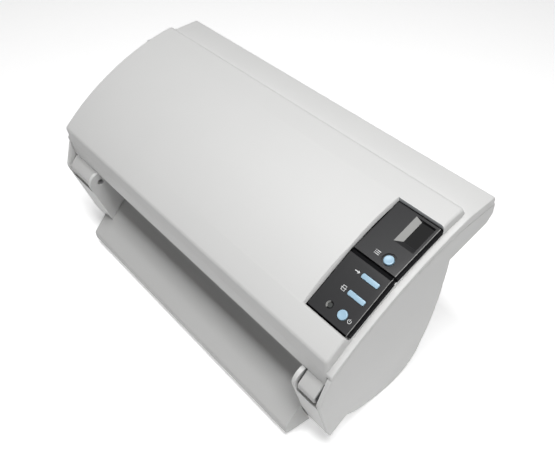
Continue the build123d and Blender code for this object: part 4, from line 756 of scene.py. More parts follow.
class ScannerColours(bpy.types.PropertyGroup):
    """Colours of the finishes, as sRGB hex values."""

    shell: colour_setting("Shell", "Pale grey of the covers", "#DDDDDC")
    shell_shade: colour_setting("Shell shade", "Slightly darker tone of the covers", "#D9D9D8")
    # Front tones: the covers' pale grey painted darker, as painted shade on the exit tray and the
    # hinge blocks
    front: colour_setting("Front", "Light grey of the exit tray", "#C9C9C8")
    front_shade: colour_setting("Front shade", "Slightly darker tone of the exit tray", "#C5C5C4")
    panel: colour_setting("Panel", "Charcoal of the control panel", "#19191B")
    panel_shade: colour_setting("Panel shade", "Darker tone of the control panel", "#151517")
    button: colour_setting("Button", "Pale blue of the button caps", "#A9CBE0")
    button_shade: colour_setting("Button shade", "Darker tone of the button caps", "#A2C4DA")
    chassis: colour_setting("Chassis", "Black of the chassis", "#2B2C2E")
    chassis_shade: colour_setting("Chassis shade", "Darker tone of the chassis", "#222325")
    window: colour_setting("Window", "Smoke grey of the display window", "#141415")
    window_shade: colour_setting("Window shade", "Darker tone of the display window", "#101011")
    floor: colour_setting("Floor", "Pale colour of the floor", "#FFFFFF")


class ScannerSizes(bpy.types.PropertyGroup):
    """Radius of the cover's edges and focal length, in millimetres."""

    cover_round: bpy.props.FloatProperty(
        name="Cover edge",
        description="Radius along the raised cover's edges",
        default=2.5,
        min=0.5,
        max=4,
    )
    lens: bpy.props.FloatProperty(
        name="Lens",
        description="Focal length of the camera in millimetres",
        default=38.92,
        min=20,
        max=90,
    )


# ---- Stage --------------------------------------------------------------------------------


class SCANNER_OT_stage(bpy.types.Operator):
    """Make the floor, the lamps, the world and the camera."""

    bl_idname = "scanner.stage"
    bl_label = "Stage"

    def execute(self, context):
        scene = context.scene
        colours = scene.scanner_colours
        bm = bmesh.new()
        bmesh.ops.create_grid(bm, x_segments=1, y_segments=1, size=6)
        floor = from_bmesh("floor", bm)
        values = {"Roughness": 0.9, "IOR": 1.3}
        made, tree, shader, coordinates = material("floor_paper_white", values)
        toned(tree, shader, coordinates, colours.floor, colours.floor, 400)
        shader.inputs["Emission Color"].default_value = (1, 1, 1, 1)
        glow = calc(tree, "MULTIPLY_ADD", self.seen(tree), 0.36, 0.1)
        tree.links.new(glow, shader.inputs["Emission Strength"])
        floor.data.materials.append(made)

        world = bpy.data.worlds.new("studio")
        scene.world = world
        world.use_nodes = True
        tree = world.node_tree
        background = tree.nodes["Background"]
        background.inputs["Color"].default_value = (1, 1, 1, 1)
        background.inputs["Strength"].default_value = 0.0
        white = add(tree, "ShaderNodeBackground", {"Color": (1, 1, 1, 1), "Strength": 1.0})
        mix = add(tree, "ShaderNodeMixShader")
        tree.links.new(self.seen(tree), mix.inputs[0])
        tree.links.new(background.outputs[0], mix.inputs[1])
        tree.links.new(white.outputs[0], mix.inputs[2])
        tree.links.new(mix.outputs[0], tree.nodes["World Output"].inputs["Surface"])

        self.lamp("key", (0.22, -0.17, 1.2), 0, (0.8, 0.26), 13.0)
        self.lamp("side", (1.3, 0.1, 0.5), 72, (0.8, 0.8), 1.3)
        self.camera(scene)
        scene.view_settings.view_transform = "Standard"
        return {"FINISHED"}

    def seen(self, tree):
        """Output that is 1 for rays from the camera, from a mirror or through glass."""
        ray = add(tree, "ShaderNodeLightPath").outputs
        mirrored = calc(tree, "MAXIMUM", ray["Is Glossy Ray"], ray["Is Transmission Ray"])
        return calc(tree, "MAXIMUM", ray["Is Camera Ray"], mirrored)

    def lamp(self, name, place, turn, size, power):
        """Soft lamp that faces down, or is turned towards the left by an angle in degrees."""
        data = bpy.data.lights.new(name, "AREA")
        data.shape = "RECTANGLE"
        data.size, data.size_y = size
        data.energy = power
        lamp = bpy.data.objects.new(name, data)
        lamp.location = place
        lamp.rotation_euler = (0, radians(turn), 0)
        bpy.context.scene.collection.objects.link(lamp)

    def camera(self, scene):
        """Camera at the photograph's place."""
        data = bpy.data.cameras.new("camera")
        data.lens = scene.scanner_sizes.lens
        data.sensor_width = 36
        data.clip_start = 0.01
        camera = bpy.data.objects.new("camera", data)
        right = Vector((0.6754, 0.7374, 0)).normalized()
        forward = Vector((-0.5072, 0.4646, -0.7259)).normalized()
        up = right.cross(forward)
        axes = Matrix((right, up, -forward)).transposed().to_4x4()
        camera.matrix_world = Matrix.Translation((0.2567, -0.20555, 0.4053)) @ axes
        scene.collection.objects.link(camera)
        scene.camera = camera


# ---- Pieces -------------------------------------------------------------------------------


class SCANNER_OT_finishes(bpy.types.Operator):
    """Give every node of the solid model the material of its slot."""

    bl_idname = "scanner.finishes"
    bl_label = "Finishes"

    def execute(self, context):
        slots = {entry["node"]: entry["material_slot"] for entry in frame["record"]["subparts"]}
        for name, node in NODES.items():
            node.data.materials.clear()
            node.data.materials.append(finish(slots[name]))
        return {"FINISHED"}


def raised_outline(drop):
    """Section of the raised, arched middle of the cover, closed at the datum height `drop`."""
    front = [(-4.7, drop), (-5.0, LIP_UP)]
    crown = arc((-7.5, 110.0), round_point(CROWN_CENTRE, CROWN_RADIUS, 112), (103.5, 157.5), 60)
    return front + crown + [(108.0, STRIP_UP), (108.0, drop)]


def flange_outline(drop):
    """Section of the low side flanges and the flat strip behind."""
    curve = arc((-6.43, 98.0), (48.0, 132.6), (108.0, STRIP_UP), 48)
    rear = [(132.5, STRIP_UP), (134.5, 148.0), (134.5, drop)]
    return [(-4.7, drop), (-5.0, LIP_UP)] + curve + rear


def parting_curve(rise):
    """The parting line between the covers and the feeder unit, moved up by `rise`."""
    front, up = PART_FRONT
    curve = arc((front, up + rise), (44.0, 127.3 + rise), (100.0, SEAT_UP + rise), 48)
    return curve + [(136.8, SEAT_UP + rise)]


def belly_arcs(rear, low, front):
    """Line of a side cover behind and below, in as many steps as each arc is given."""
    line = arc((98.0, 119.0), (103.0, 74.0), (95.5, 26.0), rear)
    line += arc((95.5, 26.0), (87.0, 8.4), (68.0, 0.0), low)[1:]
    return line + arc((68.0, 0.0), (38.5, 7.0), (15.0, 23.5), front)[1:]


def touch(outside, side):
    """Where a line from a datum point touches the nose circle, on one side of it."""
    away = (outside[0] - HINGE[0], outside[1] - HINGE[1])
    opening = degrees(acos(NOSE_RADIUS / hypot(*away)))
    return round_point(HINGE, NOSE_RADIUS, degrees(atan2(away[1], away[0])) + side * opening)


def side_outline():
    """Outline of a side cover, as in the solid model."""
    nose = (touch(FOOT_TIP, -1), round_point(HINGE, NOSE_RADIUS, 180), touch(PART_FRONT, 1))
    front = [FOOT_TIP] + arc(*nose, 16)
    return front + parting_curve(0) + [(138.5, 133.5), (134.0, 127.0)] + belly_arcs(32, 14, 18)


class SCANNER_OT_top_cover(bpy.types.Operator):
    """Make the feeder unit's top cover with its flanges, strip and panel recess."""

    bl_idname = "scanner.top_cover"
    bl_label = "Top cover"

    def execute(self, context):
        sizes = context.scene.scanner_sizes
        cover = prism("top_cover_skin", raised_outline(79.0), -COVER_HALF, COVER_HALF)
        bevel(cover, sizes.cover_round, 5, 25)
        flange = prism("flange", flange_outline(79.0), -SIDE_HALF, SIDE_HALF)
        bevel(flange, 0.8, 3, 25)
        combine(cover, [flange], "UNION")
        cavities = []
        for name, outline, half in (
            ("cavity", raised_outline(70.0), COVER_HALF),
            ("cavity_flange", flange_outline(70.0), SIDE_HALF),
        ):
            cavities.append(prism(name, inset(outline, WALL), -half + WALL, half - WALL))
        combine(cover, cavities)
        combine(cover, self.trims())
        combine(cover, [self.ledge()], "UNION")
        combine(cover, self.recess())
        bevel(cover, 0.25, 2, 50)
        smooth(cover, 30)
        looks = ("pale_abs", "painted_shade_black", "lever_plastic", "painted_highlight_abs")
        finish_piece(cover, "feeder", "pale_abs", ["top_cover"], looks)
        self.line_recess(cover)
        return {"FINISHED"}

    def line_recess(self, cover):
        """Finishes of the recess: near-black seat and mid-grey rear slope as painted shade, pale
        left wall as painted highlight.
        """
        half = PLATE_LENGTH / 2
        left = PANEL_LEFT - PANEL_MIDDLE
        for angle, rear in ((LOWER_ANGLE, half + 3), (UPPER_ANGLE, half + 0.2)):
            back = panel_matrix(angle).inverted()
            turn = back.to_3x3()
            for face in cover.data.polygons:
                x, v, level = back @ face.center / MM
                facing = turn @ face.normal
                if x < left - 0.6 or abs(v) > half + 9 or level > 7:
                    continue
                seat = -2.7 < level < -0.05 and abs(v) < half + 2
                slope = v > rear and level > -2.5 and facing.y < -0.35 and facing.z < 0.95
                wall = facing.x > 0.35 and x < left + 1 and v < rear
                # Painted shade: the seat near black and the rear slope mid grey; painted highlight:
                # the pale left wall
                if seat or slope:
                    face.material_index = 1 if seat else 2
                elif wall and facing.z < 0.985:
                    face.material_index = 3

    def trims(self):
        """Solids that open the cover below the parting line and trim its lip."""
        foot, front = 40.0, -2.4
        seam = [point for point in parting_curve(SEAM) if point[0] > front]
        seam += [(140.0, SEAT_UP + SEAM), (140.0, foot)]
        outline = [(front, foot), (front, seam[0][1] - 0.5)] + seam
        lip = [(-30, 60), (60, 60), (60, LIP_UP), (-30, LIP_UP)]
        end = [(-30, foot), (-2.3, foot), (-2.3, 97.1), (-6.5, 94.1), (-30, 94.1)]
        return [
            prism("below", outline, -PAST, PAST),
            prism("lip", lip, -PAST, PAST),
            prism("end", end, -PAST, -COVER_HALF),
            prism("end", end, COVER_HALF, PAST),
        ]

    def ledge(self):
        """Shelf under the panel plates."""
        first, last, steps = 126.4, 111.0, 12
        turns = [15.4 * i / steps for i in range(steps + 1)]
        outer = [round_point(CROWN_CENTRE, CROWN_RADIUS - 1, first - turn) for turn in turns]
        inner = [round_point(CROWN_CENTRE, PLATE_RADIUS - 5.5, last + turn) for turn in turns]
        return prism("ledge", outer + inner, PANEL_LEFT - 3, COVER_HALF - 1.2)

    def recess(self):
        """Solids that sink the panel plates into the cover."""
        tools = []
        half = PLATE_LENGTH / 2
        for angle, low, high in (
            (LOWER_ANGLE, -half - 0.3, half + 1.4),
            (UPPER_ANGLE, -half - 1.4, half + 0.3),
        ):
            plane = panel_matrix(angle)
            seat = rectangle(PANEL_LEFT - 0.3, COVER_HALF + 2, low, high)
            tools.append(plate("seat", plane, seat, PLATE_UNDER, 0.02))
            tools.append(plate("bevel", plane, seat, 0, 7, 3.7))
            opening = rectangle(PANEL_LEFT + 3, 142.2, -half + 2, half - 2)
            tools.append(plate("opening", plane, opening, -12, -1))
            skirt = rectangle(144.2, COVER_HALF + 2, low, high)
            tools.append(plate("skirt", plane, skirt, -5.1, 0))
        return tools


class SCANNER_OT_side_covers(bpy.types.Operator):
    """Make the two D-shaped side covers."""

    bl_idname = "scanner.side_covers"
    bl_label = "Side covers"

    def execute(self, context):
        outline = side_outline()
        for side, name in ((1, "right_side_cover"), (-1, "left_side_cover")):
            inner, rim, deep = (side * (SIDE_HALF - depth) for depth in (3, 12, 13))
            outer = prism(name + "_skin", outline, inner, side * SIDE_HALF)
            bevel(outer, 1.1, 4, 25)
            self.dome(outer, side)
            ring = prism("ring", inset(outline, 0.2), rim, side * (SIDE_HALF - 2.5))
            hole = prism("hole", inset(outline, 2.4), deep, side * (SIDE_HALF - 2.9))
            ahead = [(-60, -20), (9, -20), (9, 180), (-60, 180)]
            front = prism("front", ahead, side * 130, side * 147.4)
            combine(ring, [hole, front])
            combine(outer, [ring], "UNION")
            smooth(outer, 30)
            finish_piece(outer, "base", "pale_abs", [name])
        return {"FINISHED"}

    def dome(self, outer, side):
        """Lets the outer face fall away towards the belly and the rear edge."""
        bm = bmesh.new()
        bm.from_mesh(outer.data)
        cuts = (Vector((0, 1, 0)), at(-15, 0)[0]), (Vector((0, 0, 1)), at(0, -2)[1])
        for step in range(1, 26):
            for axis, start in cuts:
                everything = bm.verts[:] + bm.edges[:] + bm.faces[:]
                place = axis * (start + step * 6 * MM)
                bmesh.ops.bisect_plane(
                    bm, geom=everything, dist=WELD, plane_co=place, plane_no=axis
                )
        rim = [Vector(at(*point)) for point in belly_arcs(24, 8, 12)]
        fall, reach = 1.8, 26
        for vert in bm.verts:
            if abs(vert.co.x) < (SIDE_HALF - 1.3) * MM:
                continue
            gaps = [(Vector((vert.co.y, vert.co.z)) - point).length / MM for point in rim]
            near = gaps.index(min(gaps))
            ends = min(1.0, near / 8, (len(rim) - 1 - near) / 8)
            vert.co.x -= side * fall * MM * ends * max(0.0, 1 - gaps[near] / reach) ** 2
        bmesh.ops.triangulate(bm, faces=[face for face in bm.faces if len(face.verts) > 4])
        bm.to_mesh(outer.data)
        bm.free()


class SCANNER_OT_exit_tray(bpy.types.Operator):
    """Make the front slope that sheets slide down, with its rounded foot and left wing."""

    bl_idname = "scanner.exit_tray"
    bl_label = "Exit tray"

    def execute(self, context):
        slope = rounded(TRAY_DROP + TRAY_EDGE + [(33.0, 2.0)], *TRAY_ROUND)
        tray = prism("exit_tray_skin", ribbon(slope, WALL), -111.7, 125.7)
        closed_end = rounded(TRAY_DROP[1:] + TRAY_EDGE + [(33.0, 2.0)], *TRAY_ROUND)
        closed_end += [(33.0, 5.5), (16.0, 20.0)]
        wing = rounded([WING_TOP] + TRAY_EDGE + [(4.0, 2.0)], *TRAY_ROUND)
        wing += [(4.0, 12.5), (-0.5, 12.5)]
        parts = [
            prism("end", closed_end, 123.2, 125.7),
            prism("wing", wing, -123.0, -111.6),
            self.cheek(),
        ]
        combine(tray, parts, "UNION")
        bevel(tray, 0.5, 3, 40)
        smooth(tray, 30)
        # The tray takes the pale ABS painted a shade darker, as painted shade
        finish_piece(tray, "base", "pale_abs", ["exit_tray"], ("painted_shade_abs", "chassis_plastic"))
        # The drop wall above the bend takes the black chassis finish, as painted shade that darkens
        # the throat under the lip
        bend_y, bend_z = at(9.0, 43.8)
        for face in tray.data.polygons:
            if face.center.y > bend_y and face.center.z > bend_z:
                face.material_index = 1
        return {"FINISHED"}

    def cheek(self):
        """Flared right end that runs out to the foot of the side cover."""
        corners = (
            (125.7, -15.0, 2.2), (125.7, -17.9, 6.2), (125.9, -17.8, 12.6), (124.6, -4.1, 26.6),
            (131.5, -0.4, 12.2), (120.0, -14.0, 2.6), (120.0, -1.0, 2.6), (120.0, -4.1, 26.6),
            (120.0, -17.6, 12.9), (120.0, -17.6, 6.2), (126.0, -1.0, 4.0),
        )
        bm = bmesh.new()
        for x, along, up in corners:
            bm.verts.new((x * MM, *at(along, up)))
        bmesh.ops.convex_hull(bm, input=bm.verts)
        return from_bmesh("cheek", bm)


class SCANNER_OT_hinge_arms(bpy.types.Operator):
    """Make the two rounded hinge blocks under the lip, and black washers beside the right one as
    painted shade in its gaps.
    """

    bl_idname = "scanner.hinge_arms"
    bl_label = "Hinge arms"

    def execute(self, context):
        brow, top, foot = (round_point(HINGE, BLOCK_RADIUS, angle) for angle in (168, 188, 270))
        nose = arc(top, foot, (4.3, 72.0), 30)
        outline = [(-2.3, 94.5), (-2.3, 81.7)] + rounded([(-4.9, 81.7), brow, top], 2.5, 5)
        outline += nose[1:] + [(8.0, 72.0), (8.0, 94.5)]
        blocks = []
        for span in ((130.3, 144.6), (-145.5, -115.6)):
            blocks.append(bevel(prism("hinge_arms_skin", outline, *span), 0.9, 4, 40))
        # Black washers fill the gaps beside the right block, as painted shade there
        core = inset(outline, 1.3)
        spans = ((129.5, 130.25), (144.65, 145.6))
        shade_washer = join([prism("hinge_shade_washer", core, *span) for span in spans])
        arms = join(blocks)
        axis = slope_matrix(HINGE, 0.0) @ Matrix.Rotation(radians(90), 4, "Y")
        bore = [(0, -PAST), (BORE_RADIUS, -PAST), (BORE_RADIUS, PAST), (0, PAST)]
        for piece in (shade_washer, arms):
            combine(piece, [turned("bore", axis, bore)])
            smooth(piece, 30)
        finish_piece(shade_washer, "feeder", "chassis_plastic")
        # The blocks take the pale ABS painted a shade darker, as painted shade
        finish_piece(arms, "feeder", "pale_abs", ["hinge_arms"], ("painted_shade_abs",))
        return {"FINISHED"}


class SCANNER_OT_control_panel(bpy.types.Operator):
    """Make the two charcoal plates with their openings, pocket, skirts and joint."""

    bl_idname = "scanner.control_panel"
    bl_label = "Control panel"

    def execute(self, context):
        half = PLATE_LENGTH / 2
        section = [
            (PANEL_LEFT, PLATE_UNDER),
            (COVER_HALF - 2, PLATE_UNDER),
            (COVER_HALF - 2, 2 * PLATE_UNDER),
            (COVER_HALF, 2 * PLATE_UNDER),
            (COVER_HALF, -0.55),
            (COVER_HALF - SKIRT_WIDTH, 0.0),
            (PANEL_LEFT, 0.0),
        ]
        looks = ("panel_plastic", "pocket_plastic", "painted_shade_black", "painted_highlight_grey")
        for name, angle, cuts, low, high in (
            ("lower_panel", LOWER_ANGLE, self.lower_cuts, 0.9, 0.5),
            ("upper_panel", UPPER_ANGLE, self.upper_cuts, 0.6, 0.3),
        ):
            plane = panel_matrix(angle)
            skin = bar(name + "_skin", plane, section, low - half, half - high)
            bevel(skin, 0.16, 2, 15)
            combine(skin, cuts(plane))
            smooth(skin, 12)
            finish_piece(skin, "feeder", "panel_plastic", [name], looks)
            self.polish(skin, plane)
        self.joint()
        return {"FINISHED"}

    def joint(self):
        """Near-black bar at the bottom of the joint between the plates, as painted shade in the
        gap.
        """
        middle = 90 + (LOWER_ANGLE + UPPER_ANGLE) / 2
        corners = ((-4.6, -0.6), (-2.6, -0.6), (-2.6, 0.6), (-4.6, 0.6))
        places = ((PLATE_RADIUS + rise, middle + turn) for rise, turn in corners)
        outline = [round_point(CROWN_CENTRE, *place) for place in places]
        piece = prism("panel_joint", outline, PANEL_LEFT - 0.2, COVER_HALF - 0.6)
        finish_piece(piece, "feeder", "panel_plastic", looks=("painted_shade_black",))

    def lower_cuts(self, plane):
        """Openings of the lower plate: two bars, the power button and the lamp's cone."""
        tools = []
        for v in (BUTTON_VS["scan"], BUTTON_VS["send"]):
            hole = rectangle(BUTTON_X - 6.35, BUTTON_X + 6.35, v - 1.85, v + 1.85, 0.9)
            tools.append(plate("hole", plane, hole, -3, 1))
        power = disc(BUTTON_X, BUTTON_VS["power"], BUTTON_HOLE)
        tools.append(plate("hole", plane, power, -3, 1))
        tools.append(plate("lamp", plane, disc(*LAMP_PLACE, 1.6), -3, 1))
        cone = [(0, -0.9), (1.6, -0.9), (2.7, 0.3), (0, 0.3)]
        tools.append(turned("cone", on_panel(plane, *LAMP_PLACE), cone))
        return tools

    def upper_cuts(self, plane):
        """Openings of the upper plate: the sloping pocket, its window and the sunk button ring."""
        sink = (128.2, 143.4, -2.95, 18.6)
        button = (BUTTON_X, BUTTON_VS["function"])
        return [
            frustum("pocket", plane, WINDOW, sink, -1.6, 0.3),
            plate("window", plane, rectangle(*WINDOW), -3, -1.5),
            plate("ring", plane, disc(*button, 4.6), -0.8, 1),
            plate("hole", plane, disc(*button, BUTTON_HOLE), -3, 1),
        ]

    def polish(self, skin, plane):
        """Finishes of the slopes of the pocket and cone, the skirt and the end faces: painted
        reflection and highlight in mid grey, painted shade in near black.
        """
        back = plane.inverted()
        turn = back.to_3x3()
        left = PANEL_LEFT - PANEL_MIDDLE
        right = COVER_HALF - PANEL_MIDDLE
        for face in skin.data.polygons:
            x, _, level = back @ face.center / MM
            facing = turn @ face.normal
            inside = left + 2 < x < right - 2
            edge = x - (right - SKIRT_WIDTH)
            # Left slopes of the pocket and the lamp's cone: mid grey as a painted reflection; the
            # other slopes take the smoother charcoal
            if inside and -1.7 < level < -0.1 and 0.3 < facing.z < 0.97:
                face.material_index = 3 if facing.x > 0.3 else 1
            # Skirt, its chamfer and the plates' front ends: near black as painted shade
            if edge > 0.17 or (not inside and facing.y < -0.4 and level < -0.1):
                face.material_index = 2
            # Edge line at the skirt's top: mid grey as a painted highlight
            elif edge > -0.17 and facing.z > 0.9:
                face.material_index = 3


class SCANNER_OT_buttons(bpy.types.Operator):
    """Make the four pale blue buttons, each on the body that its press moves."""

    bl_idname = "scanner.buttons"
    bl_label = "Buttons"

    def execute(self, context):
        for key, angle in (("function", UPPER_ANGLE), ("power", LOWER_ANGLE)):
            axis = on_panel(panel_matrix(angle), BUTTON_X, BUTTON_VS[key])
            profile = [(0, -4.2), (4.15, -4.2), (4.15, -3.0), (3.15, -3.0), (3.15, 0.2)]
            for a in (radians(30), radians(60), radians(90)):
                profile.append((2.65 + 0.5 * cos(a), 0.2 + 0.5 * sin(a)))
            profile += [(2.2, 0.66), (1.2, 0.56), (0, 0.52)]
            cap = smooth(turned(key + "_button_skin", axis, profile), 40)
            finish_piece(cap, key + "_key", "button_plastic", [key + "_button"])
        plane = panel_matrix(LOWER_ANGLE)
        for key in ("scan", "send"):
            v = BUTTON_VS[key]
            outline = rectangle(BUTTON_X - 6.1, BUTTON_X + 6.1, v - 1.6, v + 1.6, 0.7)
            cap = plate(key + "_button_skin", plane, outline, -4.2, 0.7)
            bevel(cap, 0.25, 3, 50)
            flange = rectangle(BUTTON_X - 6.5, BUTTON_X + 5.7, v - 2.6, v + 2.6)
            combine(cap, [plate("flange", plane, flange, -4.2, -3.0)], "UNION")
            smooth(cap, 40)
            finish_piece(cap, key + "_key", "button_plastic", [key + "_button"])
        return {"FINISHED"}


class SCANNER_OT_pictograms(bpy.types.Operator):
    """Print the small white signs beside the buttons: power, page, arrow and list."""

    bl_idname = "scanner.pictograms"
    bl_label = "Pictograms"

    def execute(self, context):
        lower = panel_matrix(LOWER_ANGLE)
        upper = panel_matrix(UPPER_ANGLE)
        self.print_sign("power_sign", lower, self.power(141.2, -12.4))
        self.print_sign("send_sign", lower, self.arrow(125.8, BUTTON_VS["send"]))
        self.print_sign("scan_sign", lower, self.page(125.8, BUTTON_VS["scan"]))
        self.print_sign("function_sign", upper, self.rows(127.0, BUTTON_VS["function"]))
        return {"FINISHED"}

    def print_sign(self, name, plane, outlines):
        """Thin layer of ink for each outline, joined as one piece."""
        parts = [plate(name, plane, outline, -0.02, 0.03) for outline in outlines]
        finish_piece(join(parts), "feeder", "panel_plastic", looks=("ink",))

    def ring(self, x, v, outer, inner, first, last, steps=24):
        """Outline of a part of a ring, between two angles in degrees."""
        x -= PANEL_MIDDLE
        angles = [radians(first + (last - first) * i / steps) for i in range(steps + 1)]
        edge = [(x + outer * cos(a), v + outer * sin(a)) for a in angles]
        return edge + [(x + inner * cos(a), v + inner * sin(a)) for a in reversed(angles)]

    def power(self, x, v):
        """Broken ring with a stroke in its gap."""
        stroke = rectangle(x - 0.16, x + 0.16, v - 0.1, v + 1.5)
        return [self.ring(x, v, 1.3, 0.98, 122, 418), stroke]

    def arrow(self, x, v):
        """Shaft with a head that points at the bar button."""
        mid = x - PANEL_MIDDLE
        head = [(mid + 0.5, v - 1.1), (mid + 1.9, v), (mid + 0.5, v + 1.1)]
        return [rectangle(x - 1.7, x + 0.6, v - 0.3, v + 0.3), head]

    def page(self, x, v):
        """Frame of a page with a bright line across it."""
        return [
            rectangle(x - 1.3, x + 1.3, v + 1.35, v + 1.65),
            rectangle(x - 1.3, x + 1.3, v - 1.65, v - 1.35),
            rectangle(x - 1.3, x - 1.0, v - 1.4, v + 1.4),
            rectangle(x + 1.0, x + 1.3, v - 1.4, v + 1.4),
            rectangle(x - 1.9, x + 1.9, v - 0.16, v + 0.16),
        ]

    def rows(self, x, v):
        """Three short rows, each with a dot in front."""
        outlines = []
        for level in (v - 1.1, v, v + 1.1):
            outlines.append(rectangle(x - 0.8, x + 1.8, level - 0.2, level + 0.2))
            outlines.append(rectangle(x - 1.7, x - 1.2, level - 0.22, level + 0.22))
        return outlines


def loose_solids(node_name):
    """Vertex places of each separate solid of a node, in metres."""
    bm = merged_node(node_name)
    waiting = set(bm.verts)
    solids = []
    for seed in bm.verts:
        if seed not in waiting:
            continue
        waiting.discard(seed)
        group, edge = [], [seed]
        while edge:
            vert = edge.pop()
            group.append(vert.co.copy())
            for link in vert.link_edges:
                other = link.other_vert(vert)
                if other in waiting:
                    waiting.discard(other)
                    edge.append(other)
        solids.append(group)
    bm.free()
    return solids


class SCANNER_OT_fasteners(bpy.types.Operator):
    """Make the screws with a cross recess, measured from the solids along the world axes.

    The frame screws are tilted, which `measure` can't follow: theirs come out as wide discs
    that lie across the part, and don't fit their solids."""

    bl_idname = "scanner.fasteners"
    bl_label = "Fasteners"

    def execute(self, context):
        tree = screw_tree()
        for node_name, body in (
            ("side_screws", "base"),
            ("board_screws", "base"),
            ("motor_screws", "base"),
            ("frame_screws", "feeder"),
        ):
            tops, axes, size = zip(*(self.measure(points) for points in loose_solids(node_name)))
            piece = grown(node_name + "_skin", tree, tops, axes, size[-1], "shaft_steel")
            finish_piece(piece, body, "shaft_steel", [node_name])
        return {"FINISHED"}

    def measure(self, points):
        """Middle of a screw's head top, its axis and its sizes, if it lies along a world axis."""
        cloud = numpy.array([tuple(point) for point in points])
        low, high = cloud.min(axis=0), cloud.max(axis=0)
        spans = high - low
        line = int(numpy.argmax(abs(spans - numpy.median(spans))))
        middle = (high + low) / 2
        along = cloud[:, line] - middle[line]
        radii = numpy.sqrt((numpy.delete(cloud - middle, line, axis=1) ** 2).sum(axis=1))
        radius = float(radii.max())
        wide = along[radii > radius * 0.9]
        sign = 1 if wide.mean() > 0 else -1
        wide = wide * sign
        narrow = radii[(radii > 0.2 * MM) & (radii < radius * 0.8)]
        top = middle.copy()
        top[line] += sign * wide.max()
        axis = [0.0, 0.0, 0.0]
        axis[line] = float(sign)
        head = wide.max() - wide.min()
        if head >= spans[line] * 0.7:
            head = 1.2 * MM
        size = {
            "Head radius": radius,
            "Head height": float(head),
            "Shank radius": float(narrow.max()) if len(narrow) else radius * 0.5,
            "Shank length": float(spans[line] - head),
            "Slot width": radius * 0.28,
        }
        return top, axis, size


class SCANNER_OT_tyres(bpy.types.Operator):
    """Make the grooved rubber tyres of the exit, feed and pick rollers."""

    bl_idname = "scanner.tyres"
    bl_label = "Tyres"

    def execute(self, context):
        tree = tyre_tree()
        for node_name, body in (
            ("exit_rollers", "exit_drive"),
            ("feed_rollers", "feed_drive"),
            ("pick_roller", "pick_drive"),
        ):
            starts = []
            for points in loose_solids(node_name):
                low, high = ([edge(row) for row in zip(*points)] for edge in (min, max))
                starts.append((low[0], (low[1] + high[1]) / 2, (low[2] + high[2]) / 2))
            size = {
                "Radius": (high[1] - low[1]) / 2,
                "Width": high[0] - low[0],
                "Groove": 0.07,
                "Number of corners": 144,
            }
            axes = [(1.0, 0.0, 0.0)] * len(starts)
            piece = grown(node_name + "_skin", tree, starts, axes, size, "roller_rubber")
            finish_piece(piece, body, "roller_rubber", [node_name])
        return {"FINISHED"}


class SCANNER_OT_small_ribs(bpy.types.Operator):
    """Make the ribs of the paper guide, and the louvres behind the rear vents."""

    bl_idname = "scanner.small_ribs"
    bl_label = "Small ribs"

    def execute(self, context):
        tree = block_tree()
        plane = slope_matrix(PATH_START, PATH_ANGLE)
        lift = plane.to_3x3() @ Vector((0, 0, 1))
        places = [(TRANSPORT_X + 11.5 * i, 121.0, -0.6) for i in range(-9, 10)]
        ribs = [plane @ (Vector(place) * MM) for place in places]
        blades = []
        for row in range(VENT_ROWS):
            for column in range(VENT_COLUMNS):
                x = VENT_MIDDLE[0] + VENT_PITCH[0] * (column - (VENT_COLUMNS - 1) / 2)
                up = VENT_MIDDLE[1] + VENT_PITCH[1] * (row - (VENT_ROWS - 1) / 2)
                blades.append((x * MM, *at(98.2, up)))
        for name, points, axis, size in (
            ("guide_ribs", ribs, lift, (1.2, 40, 0.5)),
            ("vent_louvres", blades, (0.0, 0.5, 0.87), (16, 0.7, 4.6)),
        ):
            size = dict(zip(("Width", "Depth", "Height"), (side * MM for side in size)))
            piece = grown(name, tree, points, [axis] * len(points), size, "chassis_plastic")
            finish_piece(piece, "base", "chassis_plastic")
        return {"FINISHED"}


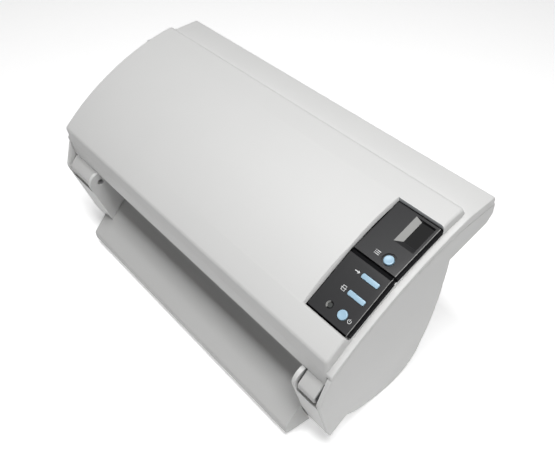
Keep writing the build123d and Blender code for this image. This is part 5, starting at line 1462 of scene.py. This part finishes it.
class SCANNER_OT_housings(bpy.types.Operator):
    """Round the edges of the moulded pieces whose shape is the solid's own."""

    bl_idname = "scanner.housings"
    bl_label = "Housings"

    def execute(self, context):
        for node_name, body, slot, width in (
            ("base_housing", "base", "pale_abs", 0.5),
            ("rear_cover", "base", "pale_abs", 0.4),
            ("rubber_feet", "base", "roller_rubber", 0.5),
            ("hinge_bushes", "base", "pale_abs", 0.3),
            ("power_inlet", "base", "sensor_plastic", 0.3),
            ("usb_socket", "base", "shaft_steel", 0.2),
            ("release_lever", "latch", "lever_plastic", 0.5),
            ("feed_motor", "base", "motor_steel", 0.6),
            ("pad_holder", "pad_arm", "chassis_plastic", 0.3),
        ):
            skin = modified(dressed(node_name, width), "WEIGHTED_NORMAL", keep_sharp=True)
            finish_piece(skin, body, slot, [node_name])
        return {"FINISHED"}


class SCANNER_PT_panel(bpy.types.Panel):
    """Lists the scanner's building steps."""

    bl_label = "Scanner"
    bl_idname = "SCANNER_PT_panel"
    bl_space_type = "VIEW_3D"
    bl_region_type = "UI"
    bl_category = "Scanner"

    def draw(self, context):
        for step in STEPS:
            self.layout.operator(step.bl_idname)


STEPS = (
    SCANNER_OT_finishes,
    SCANNER_OT_top_cover,
    SCANNER_OT_side_covers,
    SCANNER_OT_exit_tray,
    SCANNER_OT_hinge_arms,
    SCANNER_OT_control_panel,
    SCANNER_OT_buttons,
    SCANNER_OT_pictograms,
    SCANNER_OT_housings,
    SCANNER_OT_fasteners,
    SCANNER_OT_tyres,
    SCANNER_OT_small_ribs,
    SCANNER_OT_stage,
)
CLASSES = (ScannerColours, ScannerSizes) + STEPS + (SCANNER_PT_panel,)


def register():
    """Registers the classes and the scene's settings."""
    for cls in CLASSES:
        bpy.utils.register_class(cls)
    bpy.types.Scene.scanner_colours = bpy.props.PointerProperty(type=ScannerColours)
    bpy.types.Scene.scanner_sizes = bpy.props.PointerProperty(type=ScannerSizes)


def unregister():
    """Removes the scene's settings and the classes."""
    del bpy.types.Scene.scanner_sizes
    del bpy.types.Scene.scanner_colours
    for cls in reversed(CLASSES):
        bpy.utils.unregister_class(cls)


def main():
    register()
    for step in STEPS:
        category, name = step.bl_idname.split(".")
        getattr(getattr(bpy.ops, category), name)()
    bpy.context.view_layer.update()


if __name__ == "__main__":
    main()
